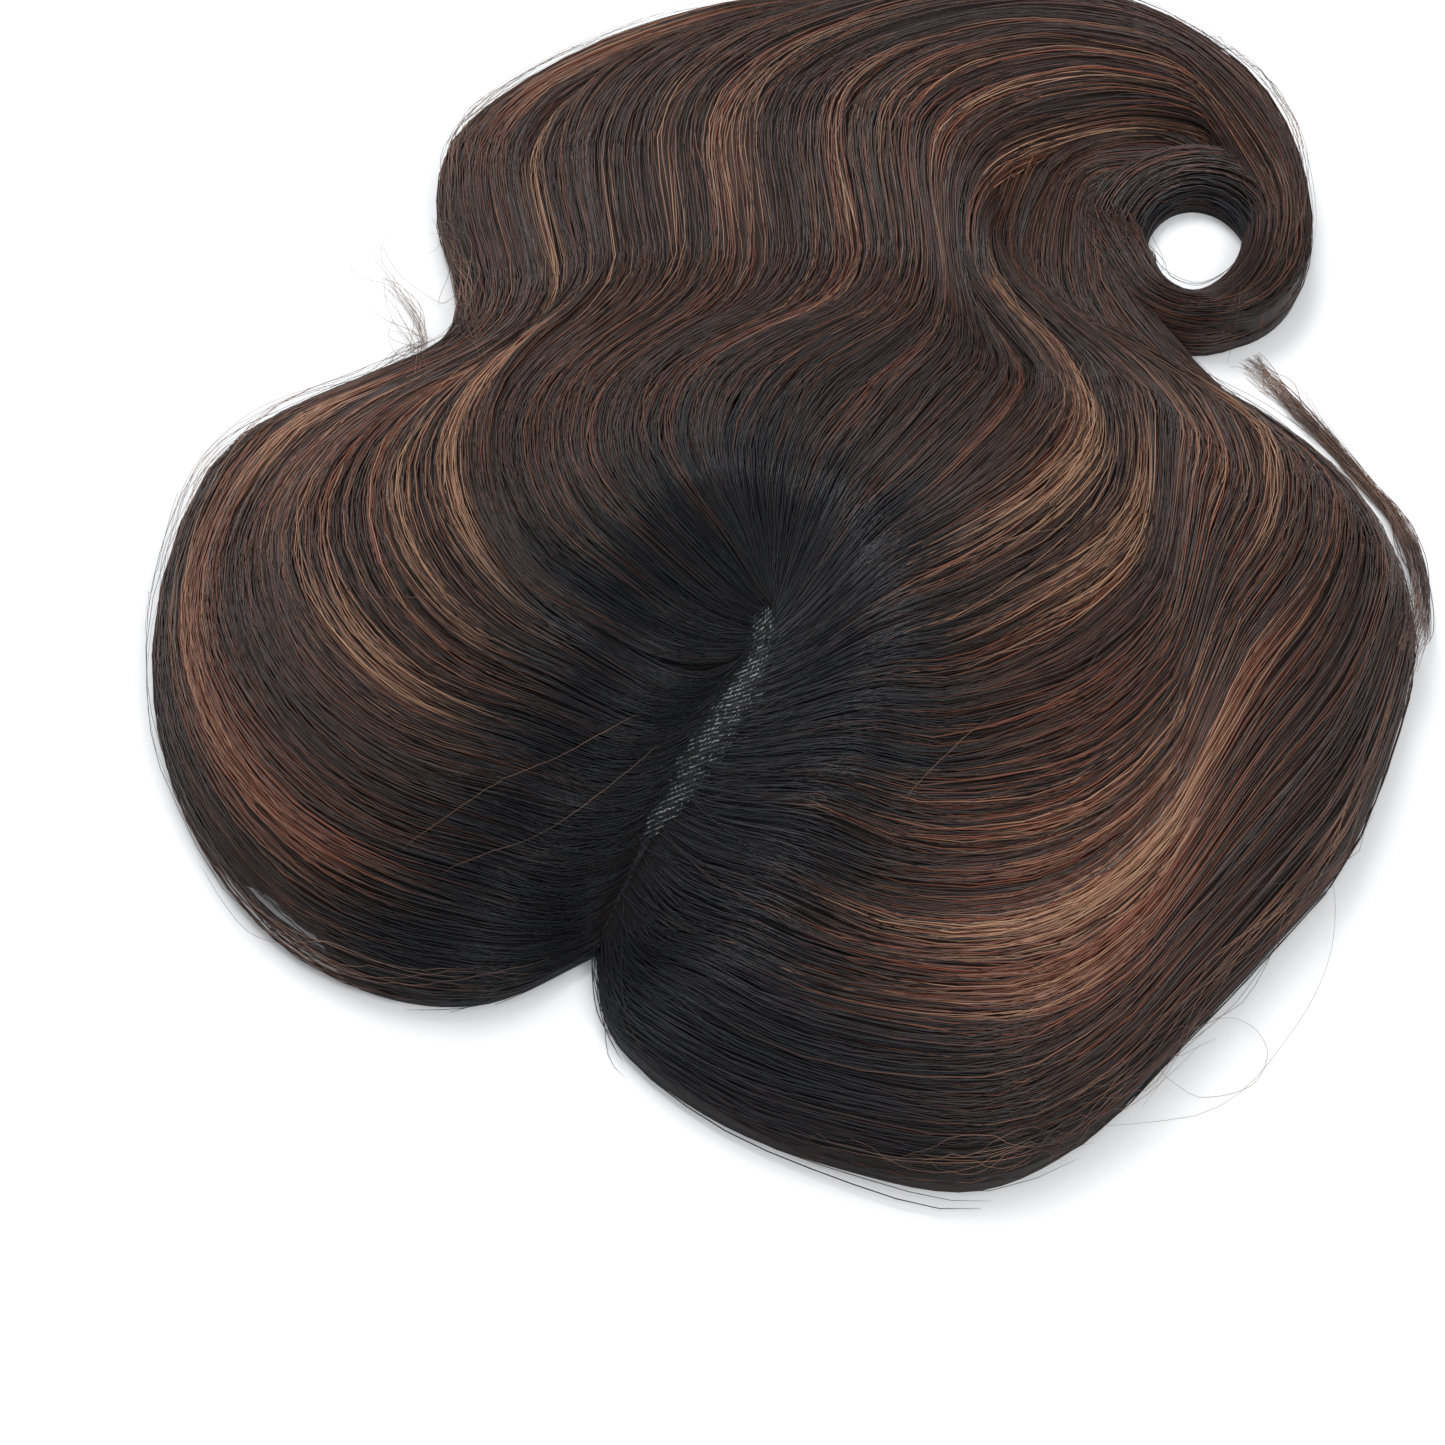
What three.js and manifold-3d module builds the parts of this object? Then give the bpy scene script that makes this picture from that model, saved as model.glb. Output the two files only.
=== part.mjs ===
// Hair topper laid out on a table: a domed net base with a part line, and long wavy hair swept back
// into one tail that ends in a flat curl. Millimetres, +Z up, the table at z = 0, the origin under the
// middle of the spread hair.
import * as THREE from 'three';
import { mergeVertices } from 'three/addons/utils/BufferGeometryUtils.js';
import Module from 'manifold-3d';

// The spread hair
const spreadWidth = 258;
const spreadDepth = 322;
const matThickness = 13;
const crownHeight = 42;
const crownReach = 0.9;
const edgeRoll = 22;
const edgeThickness = 1.6;
const rootRise = 26;
const rootCover = 0.8;
const hairGap = 0.35;

// Locks: ridges that follow the flow, closer together towards a sheet's edges
const edgePull = 0.55;
const lockRelief = 1.5;

// The net base, an ellipse in plan with its long axis turned towards the part line
const capLength = 130;
const capWidth = 120;
const capRise = 27;
const capWall = 1.5;
const rimHeight = 3;
const rimWidth = 3.5;
const capTurn = THREE.MathUtils.degToRad(27);
const capCentre = { x: -0.05 * spreadWidth, y: -0.1475 * spreadDepth };
const capSides = 36;
const capRings = 8;

// The lace that shows in the part
const laceThickness = 0.6;
const laceGap = 0.3;
const laceSteps = 14;

// Snap clips under the base
const clipLength = 32;
const clipDepth = 12;
const clipPlate = 1.2;
const clipTeeth = 7;
const clipSpine = 3.2;
const clipToothWidth = 2.4;
const clipToothInset = 0.2;
const clipGap = 0.35;
const clipInset = 4;

// Loose lock at the right: its edges have wispEdgeHeight of the height of its middle
const wispWidth = 4.2;
const wispThickness = 5;
const wispEdgeHeight = 0.4;
const wispShares = [0, 0.25, 0.75, 1];
const wispStepsPerRow = 3;

const looks = {
  hair: { color: 0x3a261e, roughness: 0.45, metalness: 0 },
  root: { color: 0x2a2022, roughness: 0.45, metalness: 0 },
  lace: { color: 0x55565a, roughness: 0.8, metalness: 0 },
  net: { color: 0x1d1c1e, roughness: 0.8, metalness: 0 },
  clip: { color: 0x1a1a1c, roughness: 0.35, metalness: 0 },
};

// Part line from the crown to the front notch, in shares of the base's half length and half width,
// with half the width of the open slot in millimetres.
const partColumns = ['along', 'across', 'halfSlot'];
const partLine = rows(partColumns, [
  [0.06, 0.085, 0.9],
  [-0.05, 0.137, 1.8],
  [-0.18, 0.156, 3.0],
  [-0.29, 0.155, 2.8],
  [-0.4, 0.13, 2.2],
  [-0.56, 0.11, 2.0],
  [-0.7, 0.09, 1.4],
  [-0.86, 0.066, 0.7],
  [-1.02, 0.058, 0.5],
]);
const flowStep = 0.02;
const laceEnd = 6;

// How far down the part, from the crown (0) to the notch (1), the crown's own hair starts on each bank,
// and the place where the slot closes beyond its last row, in the same shares as the part line's.
const leftCrownEnd = 0.2;
const rightCrownEnd = 0.12;
const slotEnd = { along: 0.095, across: 0.075 };

// Sections of each sheet of hair, in the order in which the hair runs. Places are shares of the spread's
// width and depth, thickness is a share of matThickness, and freeOuter and freeInner say how far that
// edge rolls down to the table (1) or meets the next sheet (0).
const sectionColumns = [
  'outerX', 'outerY', 'middleX', 'middleY', 'innerX', 'innerY', 'thickness', 'freeOuter', 'freeInner',
];

const leftSections = rows(sectionColumns, [
  [-0.235, -0.368, -0.16, -0.265, -0.09, -0.205, 1.0, 1, 0],
  [-0.318, -0.36, -0.237, -0.245, -0.15, -0.185, 1.1, 1, 0],
  [-0.398, -0.316, -0.312, -0.2, -0.196, -0.14, 1.15, 1, 0],
  [-0.462, -0.237, -0.371, -0.136, -0.236, -0.062, 1.2, 1, 0],
  [-0.497, -0.144, -0.4, -0.063, -0.251, 0.013, 1.2, 1, 0],
  [-0.498, -0.043, -0.386, 0.002, -0.243, 0.068, 1.15, 1, 0],
  [-0.463, 0.051, -0.338, 0.056, -0.216, 0.115, 1.05, 1, 0],
  [-0.37, 0.106, -0.28, 0.093, -0.185, 0.147, 0.95, 1, 0],
  [-0.294, 0.148, -0.229, 0.131, -0.162, 0.18, 0.9, 1, 0],
  [-0.28, 0.2, -0.208, 0.174, -0.16, 0.214, 0.95, 1, 0],
  [-0.3, 0.267, -0.223, 0.235, -0.171, 0.266, 1.1, 1, 0],
  [-0.294, 0.335, -0.231, 0.291, -0.171, 0.31, 1.2, 1, 0],
  [-0.241, 0.391, -0.199, 0.353, -0.142, 0.363, 1.15, 1, 0],
  [-0.159, 0.444, -0.123, 0.403, -0.079, 0.406, 1.0, 1, 0],
  [-0.053, 0.485, -0.036, 0.452, -0.005, 0.445, 0.8, 1, 0],
  [0.04, 0.499, 0.046, 0.49, 0.054, 0.482, 0.4, 1, 0],
]);

const backSections = rows(sectionColumns, [
  [-0.12, -0.19, -0.043, -0.098, 0.033, -0.138, 1.0, 0, 0],
  [-0.203, -0.138, -0.068, -0.06, 0.102, -0.08, 1.0, 0, 0],
  [-0.248, -0.041, -0.073, 0.0, 0.162, -0.002, 1.05, 0, 0],
  [-0.26, 0.035, -0.054, 0.071, 0.2, 0.046, 1.05, 0, 0],
  [-0.239, 0.092, -0.005, 0.119, 0.208, 0.08, 1.0, 0, 0],
  [-0.191, 0.147, 0.046, 0.151, 0.184, 0.12, 0.95, 0, 0],
  [-0.168, 0.193, 0.071, 0.195, 0.16, 0.161, 0.95, 0, 0],
  [-0.177, 0.251, 0.068, 0.246, 0.154, 0.21, 1.1, 0, 0],
  [-0.181, 0.315, 0.061, 0.3, 0.162, 0.253, 1.25, 0, 0.3],
  [-0.148, 0.373, 0.071, 0.347, 0.186, 0.291, 1.3, 0, 0.7],
  [-0.071, 0.425, 0.12, 0.387, 0.23, 0.317, 1.3, 0.2, 1],
  [0.055, 0.476, 0.199, 0.411, 0.28, 0.332, 1.25, 0.8, 1],
  [0.198, 0.495, 0.264, 0.408, 0.323, 0.338, 1.25, 1, 1],
  [0.312, 0.465, 0.335, 0.385, 0.363, 0.33, 1.3, 1, 1],
  [0.4, 0.4, 0.383, 0.33, 0.379, 0.298, 1.3, 1, 1],
  [0.436, 0.318, 0.411, 0.275, 0.386, 0.262, 1.25, 1, 1],
  [0.436, 0.241, 0.407, 0.226, 0.378, 0.232, 1.2, 1, 1],
  [0.405, 0.182, 0.381, 0.184, 0.357, 0.207, 1.15, 1, 1],
  [0.341, 0.153, 0.337, 0.168, 0.334, 0.196, 1.1, 1, 1],
  [0.284, 0.169, 0.295, 0.184, 0.312, 0.208, 1.05, 1, 1],
  [0.245, 0.213, 0.272, 0.22, 0.301, 0.234, 0.95, 1, 1],
  [0.223, 0.26, 0.255, 0.262, 0.294, 0.266, 0.75, 1, 1],
]);

// The right sheet is wider, so its sections have a second middle point.
const wideColumns = [
  'outerX', 'outerY', 'middleX', 'middleY', 'secondX', 'secondY', 'innerX', 'innerY',
  'thickness', 'freeOuter', 'freeInner',
];

const rightSections = rows(wideColumns, [
  [-0.138, -0.395, -0.035, -0.31, 0.032, -0.22, 0.028, -0.135, 1.0, 1, 0],
  [-0.065, -0.449, 0.042, -0.34, 0.104, -0.213, 0.084, -0.088, 1.1, 1, 0],
  [0.027, -0.482, 0.13, -0.342, 0.174, -0.175, 0.137, -0.024, 1.15, 1, 0],
  [0.119, -0.496, 0.204, -0.319, 0.227, -0.136, 0.176, 0.023, 1.2, 1, 0],
  [0.199, -0.463, 0.267, -0.266, 0.271, -0.084, 0.196, 0.055, 1.2, 1, 0],
  [0.264, -0.406, 0.314, -0.205, 0.299, -0.035, 0.201, 0.08, 1.2, 1, 0],
  [0.34, -0.336, 0.368, -0.16, 0.315, 0.014, 0.191, 0.101, 1.2, 1, 0],
  [0.407, -0.267, 0.418, -0.095, 0.307, 0.058, 0.178, 0.122, 1.2, 1, 0],
  [0.454, -0.179, 0.432, -0.041, 0.278, 0.093, 0.166, 0.142, 1.15, 1, 0],
  [0.479, -0.104, 0.411, 0.013, 0.252, 0.12, 0.156, 0.163, 1.05, 1, 0],
  [0.474, -0.022, 0.366, 0.06, 0.225, 0.147, 0.148, 0.188, 1.0, 1, 0],
  [0.433, 0.053, 0.311, 0.099, 0.206, 0.17, 0.146, 0.212, 0.95, 1, 0],
  [0.374, 0.106, 0.257, 0.129, 0.191, 0.194, 0.151, 0.242, 0.85, 1, 0],
  [0.29, 0.185, 0.232, 0.185, 0.189, 0.232, 0.162, 0.266, 0.7, 0.6, 0],
  [0.265, 0.251, 0.241, 0.273, 0.213, 0.299, 0.184, 0.328, 0.55, 0.6, 0],
  [0.273, 0.277, 0.263, 0.303, 0.245, 0.328, 0.216, 0.351, 0.5, 1, 0],
  [0.301, 0.278, 0.295, 0.306, 0.28, 0.34, 0.256, 0.367, 0.5, 1, 0],
  [0.334, 0.279, 0.332, 0.307, 0.326, 0.342, 0.305, 0.375, 0.5, 1, 0],
  [0.357, 0.275, 0.36, 0.291, 0.36, 0.314, 0.352, 0.346, 0.5, 1, 0],
  [0.367, 0.27, 0.369, 0.277, 0.37, 0.287, 0.369, 0.301, 0.4, 1, 0],
]);

// Middle line of the loose lock, with shares of wispWidth and wispThickness.
const wispColumns = ['x', 'y', 'width', 'thickness'];
const wispPath = rows(wispColumns, [
  [0.388, 0.15, 0.5, 0.6],
  [0.414, 0.108, 0.8, 0.9],
  [0.45, 0.062, 1.0, 1.0],
  [0.479, 0.0, 1.0, 1.0],
  [0.493, -0.062, 0.9, 0.9],
  [0.49, -0.12, 0.6, 0.6],
  [0.477, -0.16, 0.3, 0.4],
]);

const wasm = await Module();
wasm.setup();

function rows(columns, table) {
  return table.map((row) => Object.fromEntries(columns.map((name, i) => [name, row[i]])));
}

// Smooth value at t (0 to 1) through evenly spaced values.
function smooth(values, t) {
  const last = values.length - 1;
  const s = THREE.MathUtils.clamp(t, 0, 1) * last;
  const i = Math.min(Math.floor(s), last - 1);
  const f = s - i;
  const a = values[Math.max(i - 1, 0)];
  const b = values[i];
  const c = values[i + 1];
  const d = values[Math.min(i + 2, last)];
  const bend = 2 * a - 5 * b + 4 * c - d;
  const twist = 3 * b - a - 3 * c + d;
  return 0.5 * (2 * b + (c - a) * f + bend * f * f + twist * f * f * f);
}

// Plan place on the base, from shares of its half length and half width.
function onBase(along, across) {
  const a = along * capLength / 2;
  const b = across * capWidth / 2;
  const x = capCentre.x + a * Math.sin(capTurn) + b * Math.cos(capTurn);
  const y = capCentre.y + a * Math.cos(capTurn) - b * Math.sin(capTurn);
  return new THREE.Vector2(x, y);
}

// How far out on the base a plan place lies: 0 in its middle, 1 at its rim.
function baseRadius(x, y) {
  const dx = x - capCentre.x;
  const dy = y - capCentre.y;
  const along = dx * Math.sin(capTurn) + dy * Math.cos(capTurn);
  const across = dx * Math.cos(capTurn) - dy * Math.sin(capTurn);
  return Math.hypot(along / (capLength / 2), across / (capWidth / 2));
}

function baseTop(x, y) {
  const r = Math.min(baseRadius(x, y), 1);
  return rimHeight + capRise * (1 - r * r);
}

function hairTop(x, y, thickness) {
  const mat = matThickness * thickness;
  return mat + (crownHeight - mat) / (1 + (baseRadius(x, y) / crownReach) ** 4);
}

// One quarter of a round edge: 0 at the edge, 1 from edgeRoll inwards.
function edgeRound(distance) {
  const t = Math.min(distance / edgeRoll, 1);
  return Math.sqrt(1 - (1 - t) ** 2);
}

// Points of one section, from its named columns.
function sectionPoints(row) {
  const names = ['outer', 'middle', 'second', 'inner'].filter((name) => `${name}X` in row);
  return names.map((name) => new THREE.Vector2(row[`${name}X`] * spreadWidth, row[`${name}Y`] * spreadDepth));
}

// A section that lies on the part line, from the notch to its crown end. Side -1 is the left bank of the
// slot, +1 its right bank.
function partSection(side, count, crownEnd) {
  const points = [];
  for (let k = 0; k < count; k += 1) {
    points.push(partBank(THREE.MathUtils.lerp(1, crownEnd, k / (count - 1)), side));
  }
  return { points, thickness: 1, freeOuter: 1, freeInner: 0 };
}

// A place on a bank of the part, t from 0 at the crown to 1 at the notch.
function partBank(t, side) {
  const middle = onBase(smooth(pick(partLine, 'along'), t), smooth(pick(partLine, 'across'), t));
  const back = t - flowStep;
  const on = t + flowStep;
  const before = onBase(smooth(pick(partLine, 'along'), back), smooth(pick(partLine, 'across'), back));
  const after = onBase(smooth(pick(partLine, 'along'), on), smooth(pick(partLine, 'across'), on));
  const flow = after.sub(before).normalize();
  const reach = smooth(pick(partLine, 'halfSlot'), t);
  return new THREE.Vector2(middle.x + side * flow.y * -reach, middle.y + side * flow.x * reach);
}

function pick(table, name) {
  return table.map((row) => row[name]);
}

// The crown's end of the slot, from its left bank round the end to its right bank.
function crownSection() {
  const points = [
    partBank(leftCrownEnd, -1), onBase(slotEnd.along, slotEnd.across), partBank(rightCrownEnd, 1),
  ];
  return { points, thickness: 1, freeOuter: 0, freeInner: 0 };
}

function sheet(first, table) {
  const later = table.map((row) => ({
    points: sectionPoints(row), thickness: row.thickness, freeOuter: row.freeOuter, freeInner: row.freeInner,
  }));
  return [first, ...later];
}

// Plan place in a sheet: u from its outer to its inner edge, v from the roots to the ends.
function planPoint(sections, u, v) {
  const across = sections.map((section) => section.points);
  const xs = across.map((points) => smooth(points.map((p) => p.x), u));
  const ys = across.map((points) => smooth(points.map((p) => p.y), u));
  return new THREE.Vector2(smooth(xs, v), smooth(ys, v));
}

// A point of a sheet's top: low at the roots, raised over the crown, rolled down at its free edges.
function topPoint(sections, u, v, ridge) {
  const place = planPoint(sections, u, v);
  const outer = place.distanceTo(planPoint(sections, 0, v));
  const inner = place.distanceTo(planPoint(sections, 1, v));
  const root = place.distanceTo(planPoint(sections, u, 0));
  const freeOuter = smooth(pick(sections, 'freeOuter'), v);
  const freeInner = smooth(pick(sections, 'freeInner'), v);
  const round = (1 - freeOuter + freeOuter * edgeRound(outer)) * (1 - freeInner + freeInner * edgeRound(inner));
  const lift = THREE.MathUtils.smoothstep(root, 0, rootRise);
  const rootHeight = baseTop(place.x, place.y) + hairGap + rootCover;
  const full = hairTop(place.x, place.y, smooth(pick(sections, 'thickness'), v));
  const height = THREE.MathUtils.lerp(rootHeight, full, lift) + ridge * lift;
  return new THREE.Vector3(place.x, place.y, edgeThickness + (height - edgeThickness) * round);
}

// A sheet of hair as a closed solid: a waved, ridged top, walls down to the table and a flat underside.
function hairSolid(sections, { locks, alongSteps, taper }) {
  const acrossSteps = locks * 2;
  const grid = [];
  for (let j = 0; j <= acrossSteps; j += 1) {
    const share = j / acrossSteps;
    const u = share - edgePull * Math.sin(2 * Math.PI * share) / (2 * Math.PI);
    const ends = taper * (j % 2 === 0 ? 1 : 0);
    for (let k = 0; k <= alongSteps; k += 1) {
      const ridge = lockRelief * (j % 2 === 0 ? -1 : 1);
      grid.push(topPoint(sections, u, (k / alongSteps) * (1 - ends), ridge));
    }
  }
  return gridSolid(grid, acrossSteps, alongSteps);
}

// A closed solid on the table under a grid of top points, which run along the hair row by row.
function gridSolid(grid, acrossSteps, alongSteps) {
  const at = (j, k) => j * (alongSteps + 1) + k;
  const faces = [];
  for (let j = 0; j < acrossSteps; j += 1) {
    for (let k = 0; k < alongSteps; k += 1) {
      faces.push([at(j, k), at(j, k + 1), at(j + 1, k + 1)], [at(j, k), at(j + 1, k + 1), at(j + 1, k)]);
    }
  }
  const rim = [];
  for (let k = 0; k < alongSteps; k += 1) rim.push(at(0, k));
  for (let j = 0; j < acrossSteps; j += 1) rim.push(at(j, alongSteps));
  for (let k = alongSteps; k > 0; k -= 1) rim.push(at(acrossSteps, k));
  for (let j = acrossSteps; j > 0; j -= 1) rim.push(at(j, 0));
  return standOnTable(grid, faces, rim);
}

// Closes a top surface with walls round its rim and a flat face on the table.
function standOnTable(top, topFaces, rim) {
  const outline = rim.map((i) => new THREE.Vector2(top[i].x, top[i].y));
  const turned = THREE.ShapeUtils.area(outline) < 0;
  const vertices = [...top, ...outline.map((p) => new THREE.Vector3(p.x, p.y, 0))];
  const faces = topFaces.map((face) => (turned ? [...face].reverse() : face));
  const under = (n) => top.length + n;
  rim.forEach((corner, n) => {
    const m = (n + 1) % rim.length;
    const wall = [[corner, under(n), under(m)], [corner, under(m), rim[m]]];
    wall.forEach((face) => faces.push(turned ? [...face].reverse() : face));
  });
  THREE.ShapeUtils.triangulateShape(outline, []).forEach((face) => {
    const [a, b, c] = face.map((n) => vertices[under(n)]);
    const upward = (b.x - a.x) * (c.y - a.y) - (c.x - a.x) * (b.y - a.y) > 0;
    const turnedFace = upward ? [face[0], face[2], face[1]] : face;
    faces.push(turnedFace.map(under));
  });
  return toSolid(geometryOf(vertices, faces));
}

function geometryOf(vertices, faces) {
  const geometry = new THREE.BufferGeometry();
  geometry.setAttribute('position', new THREE.Float32BufferAttribute(vertices.flatMap((p) => [p.x, p.y, p.z]), 3));
  geometry.setIndex(faces.flat());
  return geometry;
}

// A solid for joining and cutting, from a closed geometry.
function toSolid(geometry) {
  const bare = geometry.clone();
  bare.deleteAttribute('normal');
  bare.deleteAttribute('uv');
  const merged = mergeVertices(bare, 1e-4);
  return new wasm.Manifold(new wasm.Mesh({
    numProp: 3,
    vertProperties: new Float32Array(merged.attributes.position.array),
    triVerts: new Uint32Array(merged.index.array),
  }));
}

function toGeometry(solid) {
  const result = solid.getMesh();
  const geometry = new THREE.BufferGeometry();
  geometry.setAttribute('position', new THREE.BufferAttribute(new Float32Array(result.vertProperties), 3));
  geometry.setIndex(new THREE.BufferAttribute(new Uint32Array(result.triVerts), 1));
  geometry.computeVertexNormals();
  return geometry;
}

// A sheet's plan outline, without the notches between its lock ends.
function planOutline(sections, { locks, alongSteps }) {
  const acrossSteps = locks * 2;
  const outline = [];
  for (let k = 0; k < alongSteps; k += 1) outline.push(planPoint(sections, 0, k / alongSteps));
  for (let j = 0; j < acrossSteps; j += 1) outline.push(planPoint(sections, j / acrossSteps, 1));
  for (let k = alongSteps; k > 0; k -= 1) outline.push(planPoint(sections, 1, k / alongSteps));
  for (let j = acrossSteps; j > 0; j -= 1) outline.push(planPoint(sections, j / acrossSteps, 0));
  return outline;
}

// An upright block over a sheet's outline, grown outwards by a gap, that clears the next sheet.
function clearance(sections, form, gap) {
  const outline = planOutline(sections, form);
  const closed = THREE.ShapeUtils.area(outline) < 0 ? [...outline].reverse() : outline;
  const grown = closed.map((p, i) => {
    const before = closed[(i + closed.length - 1) % closed.length];
    const after = closed[(i + 1) % closed.length];
    const flow = new THREE.Vector2().subVectors(after, before).normalize();
    return new THREE.Vector2(p.x + flow.y * gap, p.y - flow.x * gap);
  });
  const block = new THREE.ExtrudeGeometry(new THREE.Shape(grown), { depth: crownHeight * 2, bevelEnabled: false });
  block.translate(0, 0, -crownHeight / 2);
  return toSolid(block);
}

// Turns a lathed geometry upright, squeezes it to the base's ellipse and sets it in its place.
function placeOnBase(geometry) {
  geometry.rotateX(Math.PI / 2);
  geometry.scale(capWidth / capLength, 1, 1);
  geometry.rotateZ(-capTurn);
  geometry.translate(capCentre.x, capCentre.y, 0);
  return geometry;
}

function domeProfile(radius, height, foot) {
  const profile = [];
  for (let i = 0; i <= capRings; i += 1) {
    const r = i / capRings;
    profile.push(new THREE.Vector2(radius * r, foot + height * (1 - r * r)));
  }
  return profile;
}

// The dome's outer form with its clearance, which hollows the hair out over the base.
function baseClearance() {
  const radius = capLength / 2 + hairGap;
  const dome = domeProfile(radius, capRise, rimHeight + hairGap).reverse();
  const profile = [new THREE.Vector2(0, -rimHeight), new THREE.Vector2(radius, -rimHeight), ...dome];
  return toSolid(placeOnBase(new THREE.LatheGeometry(profile, capSides)));
}

function baseCap() {
  const inner = domeProfile(capLength / 2 - rimWidth, capRise - capWall, rimHeight);
  const foot = [new THREE.Vector2(capLength / 2 - rimWidth, 0), new THREE.Vector2(capLength / 2, 0)];
  const outer = domeProfile(capLength / 2, capRise, rimHeight).reverse();
  return placeOnBase(new THREE.LatheGeometry([...inner, ...foot, ...outer], capSides));
}

// The lace strip follows the dome between the banks of the part.
function partingLace() {
  const lastShare = laceEnd / (partLine.length - 1);
  const lower = [];
  const upper = [];
  for (let i = 0; i <= laceSteps; i += 1) {
    const t = lastShare * i / laceSteps;
    for (const side of [-1, 0, 1]) {
      const place = side === 0
        ? partBank(t, -1).add(partBank(t, 1)).multiplyScalar(0.5)
        : partBank(t, side);
      const height = baseTop(place.x, place.y) + laceGap;
      lower.push(new THREE.Vector3(place.x, place.y, height));
      upper.push(new THREE.Vector3(place.x, place.y, height + laceThickness));
    }
  }
  return toSolid(closeStrip(lower, upper, laceSteps, 2));
}

// Joins two like grids of points, one above the other, into a closed geometry.
function closeStrip(lower, upper, alongSteps, acrossSteps) {
  const at = (i, j) => i * (acrossSteps + 1) + j;
  const faces = [];
  const top = lower.length;
  for (let i = 0; i < alongSteps; i += 1) {
    for (let j = 0; j < acrossSteps; j += 1) {
      const quad = [at(i, j), at(i + 1, j), at(i + 1, j + 1), at(i, j + 1)];
      const [a, b, c, d] = quad;
      faces.push([a, c, b], [a, d, c]);
      faces.push([a + top, b + top, c + top], [a + top, c + top, d + top]);
    }
  }
  const rim = [];
  for (let i = 0; i < alongSteps; i += 1) rim.push(at(i, 0));
  for (let j = 0; j < acrossSteps; j += 1) rim.push(at(alongSteps, j));
  for (let i = alongSteps; i > 0; i -= 1) rim.push(at(i, acrossSteps));
  for (let j = acrossSteps; j > 0; j -= 1) rim.push(at(0, j));
  rim.forEach((corner, n) => {
    const next = rim[(n + 1) % rim.length];
    faces.push([corner, next, next + top], [corner, next + top, corner + top]);
  });
  return geometryOf([...lower, ...upper], faces);
}

// A place under the dome: along the clip, inwards from the rim, and down from the dome's inside.
function clipPoint(side, along, inward, depth) {
  const radial = 1 - (rimWidth + clipInset + inward) / side.out;
  const angle = side.angle + along / side.round;
  const spot = onBase(Math.cos(angle) * radial, Math.sin(angle) * radial);
  const innerShare = baseRadius(spot.x, spot.y) * (capLength / 2) / (capLength / 2 - rimWidth);
  const ceiling = rimHeight + (capRise - capWall) * (1 - innerShare * innerShare);
  return new THREE.Vector3(spot.x, spot.y, ceiling - clipGap - depth);
}

// A bent plate under the dome, between two places along the clip and two inwards from the rim.
function clipPlateSolid(side, fromAlong, toAlong, fromInward, toInward, fromDepth, toDepth, steps) {
  const lower = [];
  const upper = [];
  for (let i = 0; i <= steps; i += 1) {
    const along = THREE.MathUtils.lerp(fromAlong, toAlong, i / steps);
    for (const inward of [toInward, fromInward]) {
      lower.push(clipPoint(side, along, inward, toDepth));
      upper.push(clipPoint(side, along, inward, fromDepth));
    }
  }
  return toSolid(closeStrip(lower, upper, steps, 1));
}

// A plain comb clip: a spine that follows the rim, and teeth that point to the middle of the base.
function snapClip(side) {
  const pitch = (clipLength - clipToothWidth) / (clipTeeth - 1);
  const start = -clipLength / 2;
  let clip = clipPlateSolid(side, start, -start, 0, clipSpine, 0, clipPlate, clipTeeth * 2);
  for (let tooth = 0; tooth < clipTeeth; tooth += 1) {
    const from = start + tooth * pitch + clipToothInset;
    const to = from + clipToothWidth - 2 * clipToothInset;
    const root = clipSpine / 2;
    const plate = clipPlateSolid(
      side, from, to, root, clipDepth, clipToothInset, clipPlate - clipToothInset, 1,
    );
    clip = clip.add(plate);
  }
  return toGeometry(clip);
}

function wispSections() {
  const middle = wispPath.map((row) => new THREE.Vector2(row.x * spreadWidth, row.y * spreadDepth));
  return wispPath.map((row, i) => {
    const before = middle[Math.max(i - 1, 0)];
    const after = middle[Math.min(i + 1, middle.length - 1)];
    const flow = new THREE.Vector2().subVectors(after, before).normalize();
    const half = row.width * wispWidth / 2;
    const side = new THREE.Vector2(-flow.y, flow.x).multiplyScalar(half);
    return { left: middle[i].clone().add(side), right: middle[i].clone().sub(side), thickness: row.thickness };
  });
}

// The loose lock: a narrow, low-crowned strand with pointed ends.
function sideWisp() {
  const top = [];
  const steps = (wispPath.length - 1) * wispStepsPerRow;
  const sections = wispSections();
  for (const share of wispShares) {
    for (let i = 0; i <= steps; i += 1) {
      const t = i / steps;
      const left = ['x', 'y'].map((axis) => smooth(sections.map((s) => s.left[axis]), t));
      const right = ['x', 'y'].map((axis) => smooth(sections.map((s) => s.right[axis]), t));
      const x = THREE.MathUtils.lerp(left[0], right[0], share);
      const y = THREE.MathUtils.lerp(left[1], right[1], share);
      const crown = share > 0 && share < 1;
      const thickness = wispThickness * smooth(pick(sections, 'thickness'), t);
      const height = thickness * (crown ? 1 : wispEdgeHeight);
      top.push(new THREE.Vector3(x, y, height));
    }
  }
  return gridSolid(top, wispShares.length - 1, steps);
}

function named(name, geometry, look) {
  const mesh = new THREE.Mesh(geometry, new THREE.MeshStandardMaterial(look));
  mesh.name = name;
  return mesh;
}

// How finely each sheet is made: its locks, its steps along the hair, and how far the valleys between
// the locks stop short of the ends, as a share of the hair's length.
const leftForm = { locks: 8, alongSteps: 40, taper: 0.02 };
const backForm = { locks: 10, alongSteps: 60, taper: 0.015 };
const rightForm = { locks: 10, alongSteps: 44, taper: 0.02 };
const leftSheet = sheet(partSection(-1, 3, leftCrownEnd), leftSections);
const backSheet = sheet(crownSection(), backSections);
const rightSheet = sheet(partSection(1, 4, rightCrownEnd), rightSections);

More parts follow.
